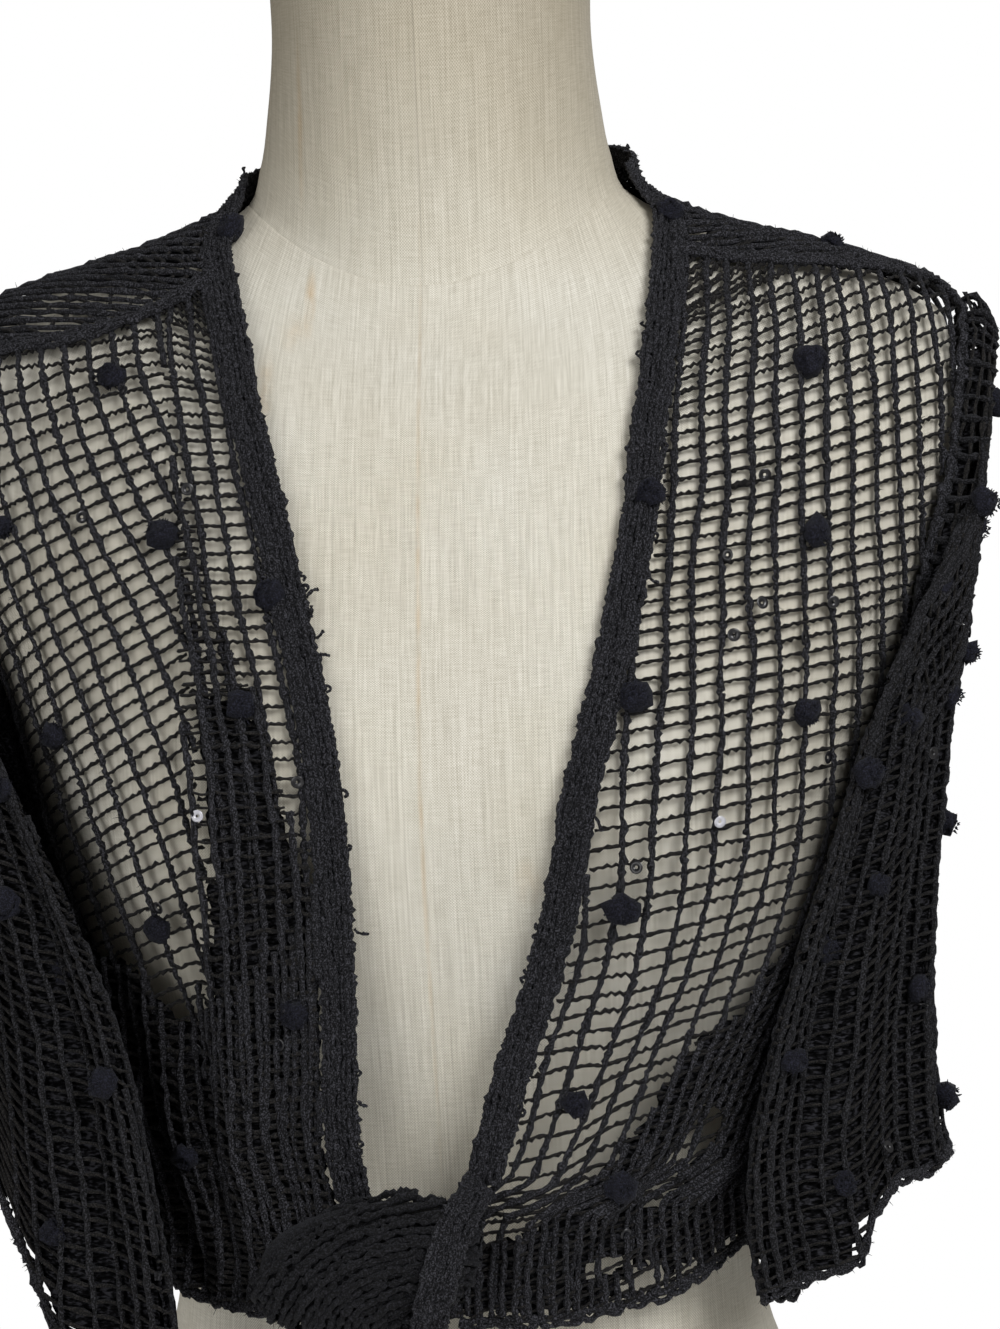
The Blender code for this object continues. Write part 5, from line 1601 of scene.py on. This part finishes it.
# %% Tufts
def tufts_at(points, outwards, size, fibre_count, seed):
    """Lumpy flattened balls with fibres, at points that face outwards."""
    chance = np.random.default_rng(seed)
    size = size * chance.uniform(0.85, 1.15, len(points))
    centres = points + outwards * 0.0028
    steps = np.sin(np.linspace(-math.pi / 2, math.pi / 2, 7))
    lines = centres[:, None] + outwards[:, None] * (steps[None, :, None] * size[:, None, None] * 0.72)
    lines = lines + 0.0005 * chance.standard_normal(lines.shape) * (np.abs(steps) < 0.9)[:, None]
    facing = np.broadcast_to(unit(np.cross(outwards, (0.3, 0.2, 0.93)))[:, None], lines.shape)
    thickness = size[:, None] * np.sqrt(np.maximum(1 - steps**2, 1e-5))
    balls = tubes(lines, facing, thickness, np.ones(lines.shape[:2], bool), 9, 0.26)
    away = unit(chance.standard_normal((len(points), fibre_count, 3)) + 0.4 * outwards[:, None])
    roots = centres[:, None] + away * size[:, None, None] * 0.78
    length = chance.uniform(0.0005, 0.0013, len(points) * fibre_count)
    return [balls, fibres(roots.reshape(-1, 3), away.reshape(-1, 3), length, 0.00045)]


tufts = dress("tufts", tufts_at(tuft_points, tuft_out, 0.005, 60, 501), TUFT)

# %% [markdown]
# ## Sequins
# A few flat sequins are threaded on the yarn: thin cupped discs with a hole in the middle. Most are
# black and only glint, and two or three are clear and flash white. A disc is three rings of points.

# %% Sequins
def sequin_material(name, colour, roughness, coat):
    made, nodes, links, shader = new_material(name, roughness)
    shader.inputs["Coat Weight"].default_value = coat
    shader.inputs["Coat Roughness"].default_value = 0.05
    swirl = noise(nodes, links, 260.0, 1.0)
    paler = tuple(min(1.0, c * 1.35 + 0.01) for c in colour)
    tint = ramp(nodes, links, swirl.outputs["Fac"], ((0.35, colour), (0.65, paler)))
    links.new(tint.outputs["Color"], shader.inputs["Base Color"])
    return made


def discs(points, outwards, radius, seed, sides=16, tip=0.35):
    """Cupped discs with a hole, each tipped its own way."""
    chance = np.random.default_rng(seed)
    facing = unit(outwards + tip * chance.standard_normal(points.shape))
    across = unit(np.cross(facing, (0.2, 0.4, 0.89)))
    up = np.cross(facing, across)
    turn = np.linspace(0, 2 * math.pi, sides, endpoint=False)
    rings = []
    for share, lift in ((0.24, 0.0), (0.62, 0.03), (1.0, 0.14), (1.0, 0.2), (0.62, 0.09), (0.24, 0.06)):
        circle = np.cos(turn)[:, None] * across[:, None] + np.sin(turn)[:, None] * up[:, None]
        rings.append(points[:, None] + circle * radius * share + facing[:, None] * radius * lift)
    rings = np.stack(rings, 1)
    count = len(points)
    base = (np.arange(count)[:, None, None] * 6 + np.arange(6)[None, :, None]) * sides
    after = (np.arange(count)[:, None, None] * 6 + (np.arange(6)[None, :, None] + 1) % 6) * sides
    i, j = np.arange(sides), (np.arange(sides) + 1) % sides
    quads = np.stack([base + i, base + j, after + j, after + i], -1)
    return rings.reshape(-1, 3), quads.reshape(-1, 4)


CLEAR_SEQUIN = sequin_material("clear_sequin", (0.46, 0.46, 0.5), 0.2, 0.8)
BLACK_SEQUIN = sequin_material("black_sequin", (0.004, 0.004, 0.006), 0.35, 0.3)
clear_spots = [spot(x, z, -1) for x, z in ((0.0945, 0.351), (-0.0715, 0.358))]
clear_points, clear_out = [np.array(v) for v in zip(*clear_spots)]
clear_out = unit(clear_out + (0.0, -1.2, 0.1))
clear_discs = discs(clear_points + clear_out * 0.0034, clear_out, 0.002, 521, tip=0.1)
clear_sequins = dress("clear_sequins", [clear_discs], CLEAR_SEQUIN)
chance = np.random.default_rng(531)
black_places = [(0.101, 0.437), (0.101, 0.411), (-0.115, 0.458), (-0.079, 0.465), (-0.04, 0.368),
                (-0.062, 0.263)]
black_spots = [spot(x, z, -1) for x, z in black_places]
for _ in range(46):
    facing = chance.choice((-1, 1))
    x, z = chance.uniform(0.03, 0.14) * chance.choice((-1, 1)), chance.uniform(0.21, 0.53)
    if facing > 0 or abs(x) > smooth(V_EDGE, 1, z) + 0.014:
        black_spots.append(spot(x, z, facing))
for made, grid, outwards, width, length in (left_sleeve, right_sleeve):
    for _ in range(14):
        place = (np.array(chance.uniform(0.1, 0.95)), np.array(chance.uniform(0.0, 1.0)))
        outward = on_grid(outwards, *place)
        black_spots.append((on_grid(grid, *place) + 0.001 * outward, outward))
black_points, black_out = [np.array(v) for v in zip(*black_spots)]
black_sequins = dress("black_sequins", [discs(black_points + black_out * 0.0034, black_out, 0.0022, 541)],
                      BLACK_SEQUIN)

# %% [markdown]

# %% [markdown]
# ## Floor, light and camera
# A round pale floor and a white surround keep the attention on the yarn. The surround looks white
# but lights the room only dimly, so that the shade side of the linen goes properly dark. One soft
# lamp stands to the right, above the camera. A wider and weaker one, low on the left, keeps the folds
# of the black wool legible, and one behind does the same for the back. The camera looks straight on
# from a little to the right.

# %% Stage
def stage_material():
    made, nodes, links, shader = new_material("pale_floor", 0.9)
    grain = noise(nodes, links, 3.0)
    pale = ((0.3, (0.86, 0.86, 0.86)), (0.7, (0.9, 0.9, 0.9)))
    colours = ramp(nodes, links, grain.outputs["Fac"], pale)
    links.new(colours.outputs["Color"], shader.inputs["Base Color"])
    return made


bpy.ops.mesh.primitive_circle_add(vertices=160, radius=0.54, fill_type="NGON", location=(0.0, 0.0, 0.0))
floor = bpy.context.object
floor.name = "floor"
floor.data.materials.append(stage_material())

world = bpy.data.worlds.new("surround")
bpy.context.scene.world = world
world.use_nodes = True
air = world.node_tree
background = air.nodes["Background"]
background.inputs["Color"].default_value = (1.0, 0.965, 0.9, 1.0)
background.inputs["Strength"].default_value = 0.21
white = air.nodes.new("ShaderNodeBackground")
white.inputs["Color"].default_value = (1.0, 1.0, 1.0, 1.0)
rays = air.nodes.new("ShaderNodeLightPath")
choice = air.nodes.new("ShaderNodeMixShader")
air.links.new(rays.outputs["Is Camera Ray"], choice.inputs["Fac"])
air.links.new(background.outputs["Background"], choice.inputs[1])
air.links.new(white.outputs["Background"], choice.inputs[2])
air.links.new(choice.outputs["Shader"], air.nodes["World Output"].inputs["Surface"])


def soft_lamp(name, place, aim, size, power):
    lamp = bpy.data.lights.new(name, "AREA")
    lamp.shape = "SQUARE"
    lamp.size = size
    lamp.energy = power
    made = bpy.data.objects.new(name, lamp)
    made.location = place
    made.rotation_euler = (Vector(aim) - Vector(place)).to_track_quat("-Z", "Y").to_euler()
    bpy.context.scene.collection.objects.link(made)


soft_lamp("key", (0.72, -1.02, 1.05), (0.0, 0.0, 0.38), 0.7, 14.5)
soft_lamp("fill", (-0.95, -1.35, 0.2), (0.0, 0.0, 0.32), 1.2, 9.5)
soft_lamp("rear", (0.4, 1.5, 0.9), (0.0, 0.0, 0.35), 1.2, 9.0)

# %% Camera
AIM, DISTANCE = Vector((0.018, 0.0, 0.404)), 0.9
AZIMUTH, ROLL = math.radians(4.2), math.radians(-1.8)
forward = Vector((-math.sin(AZIMUTH), math.cos(AZIMUTH), 0.0))
flat_right = Vector((math.cos(AZIMUTH), math.sin(AZIMUTH), 0.0))
right_hand = flat_right * math.cos(ROLL) + Vector((0, 0, 1)) * math.sin(ROLL)
upwards = -flat_right * math.sin(ROLL) + Vector((0, 0, 1)) * math.cos(ROLL)
lens = bpy.data.cameras.new("camera")
lens.lens = 65.9
lens.sensor_width = 36.0
camera = bpy.data.objects.new("camera", lens)
camera.matrix_world = Matrix.Translation(AIM - forward * DISTANCE) @ Matrix(
    (right_hand, upwards, -forward)).transposed().to_4x4()
bpy.context.scene.collection.objects.link(camera)
bpy.context.scene.camera = camera
bpy.context.scene.view_settings.view_transform = "Standard"
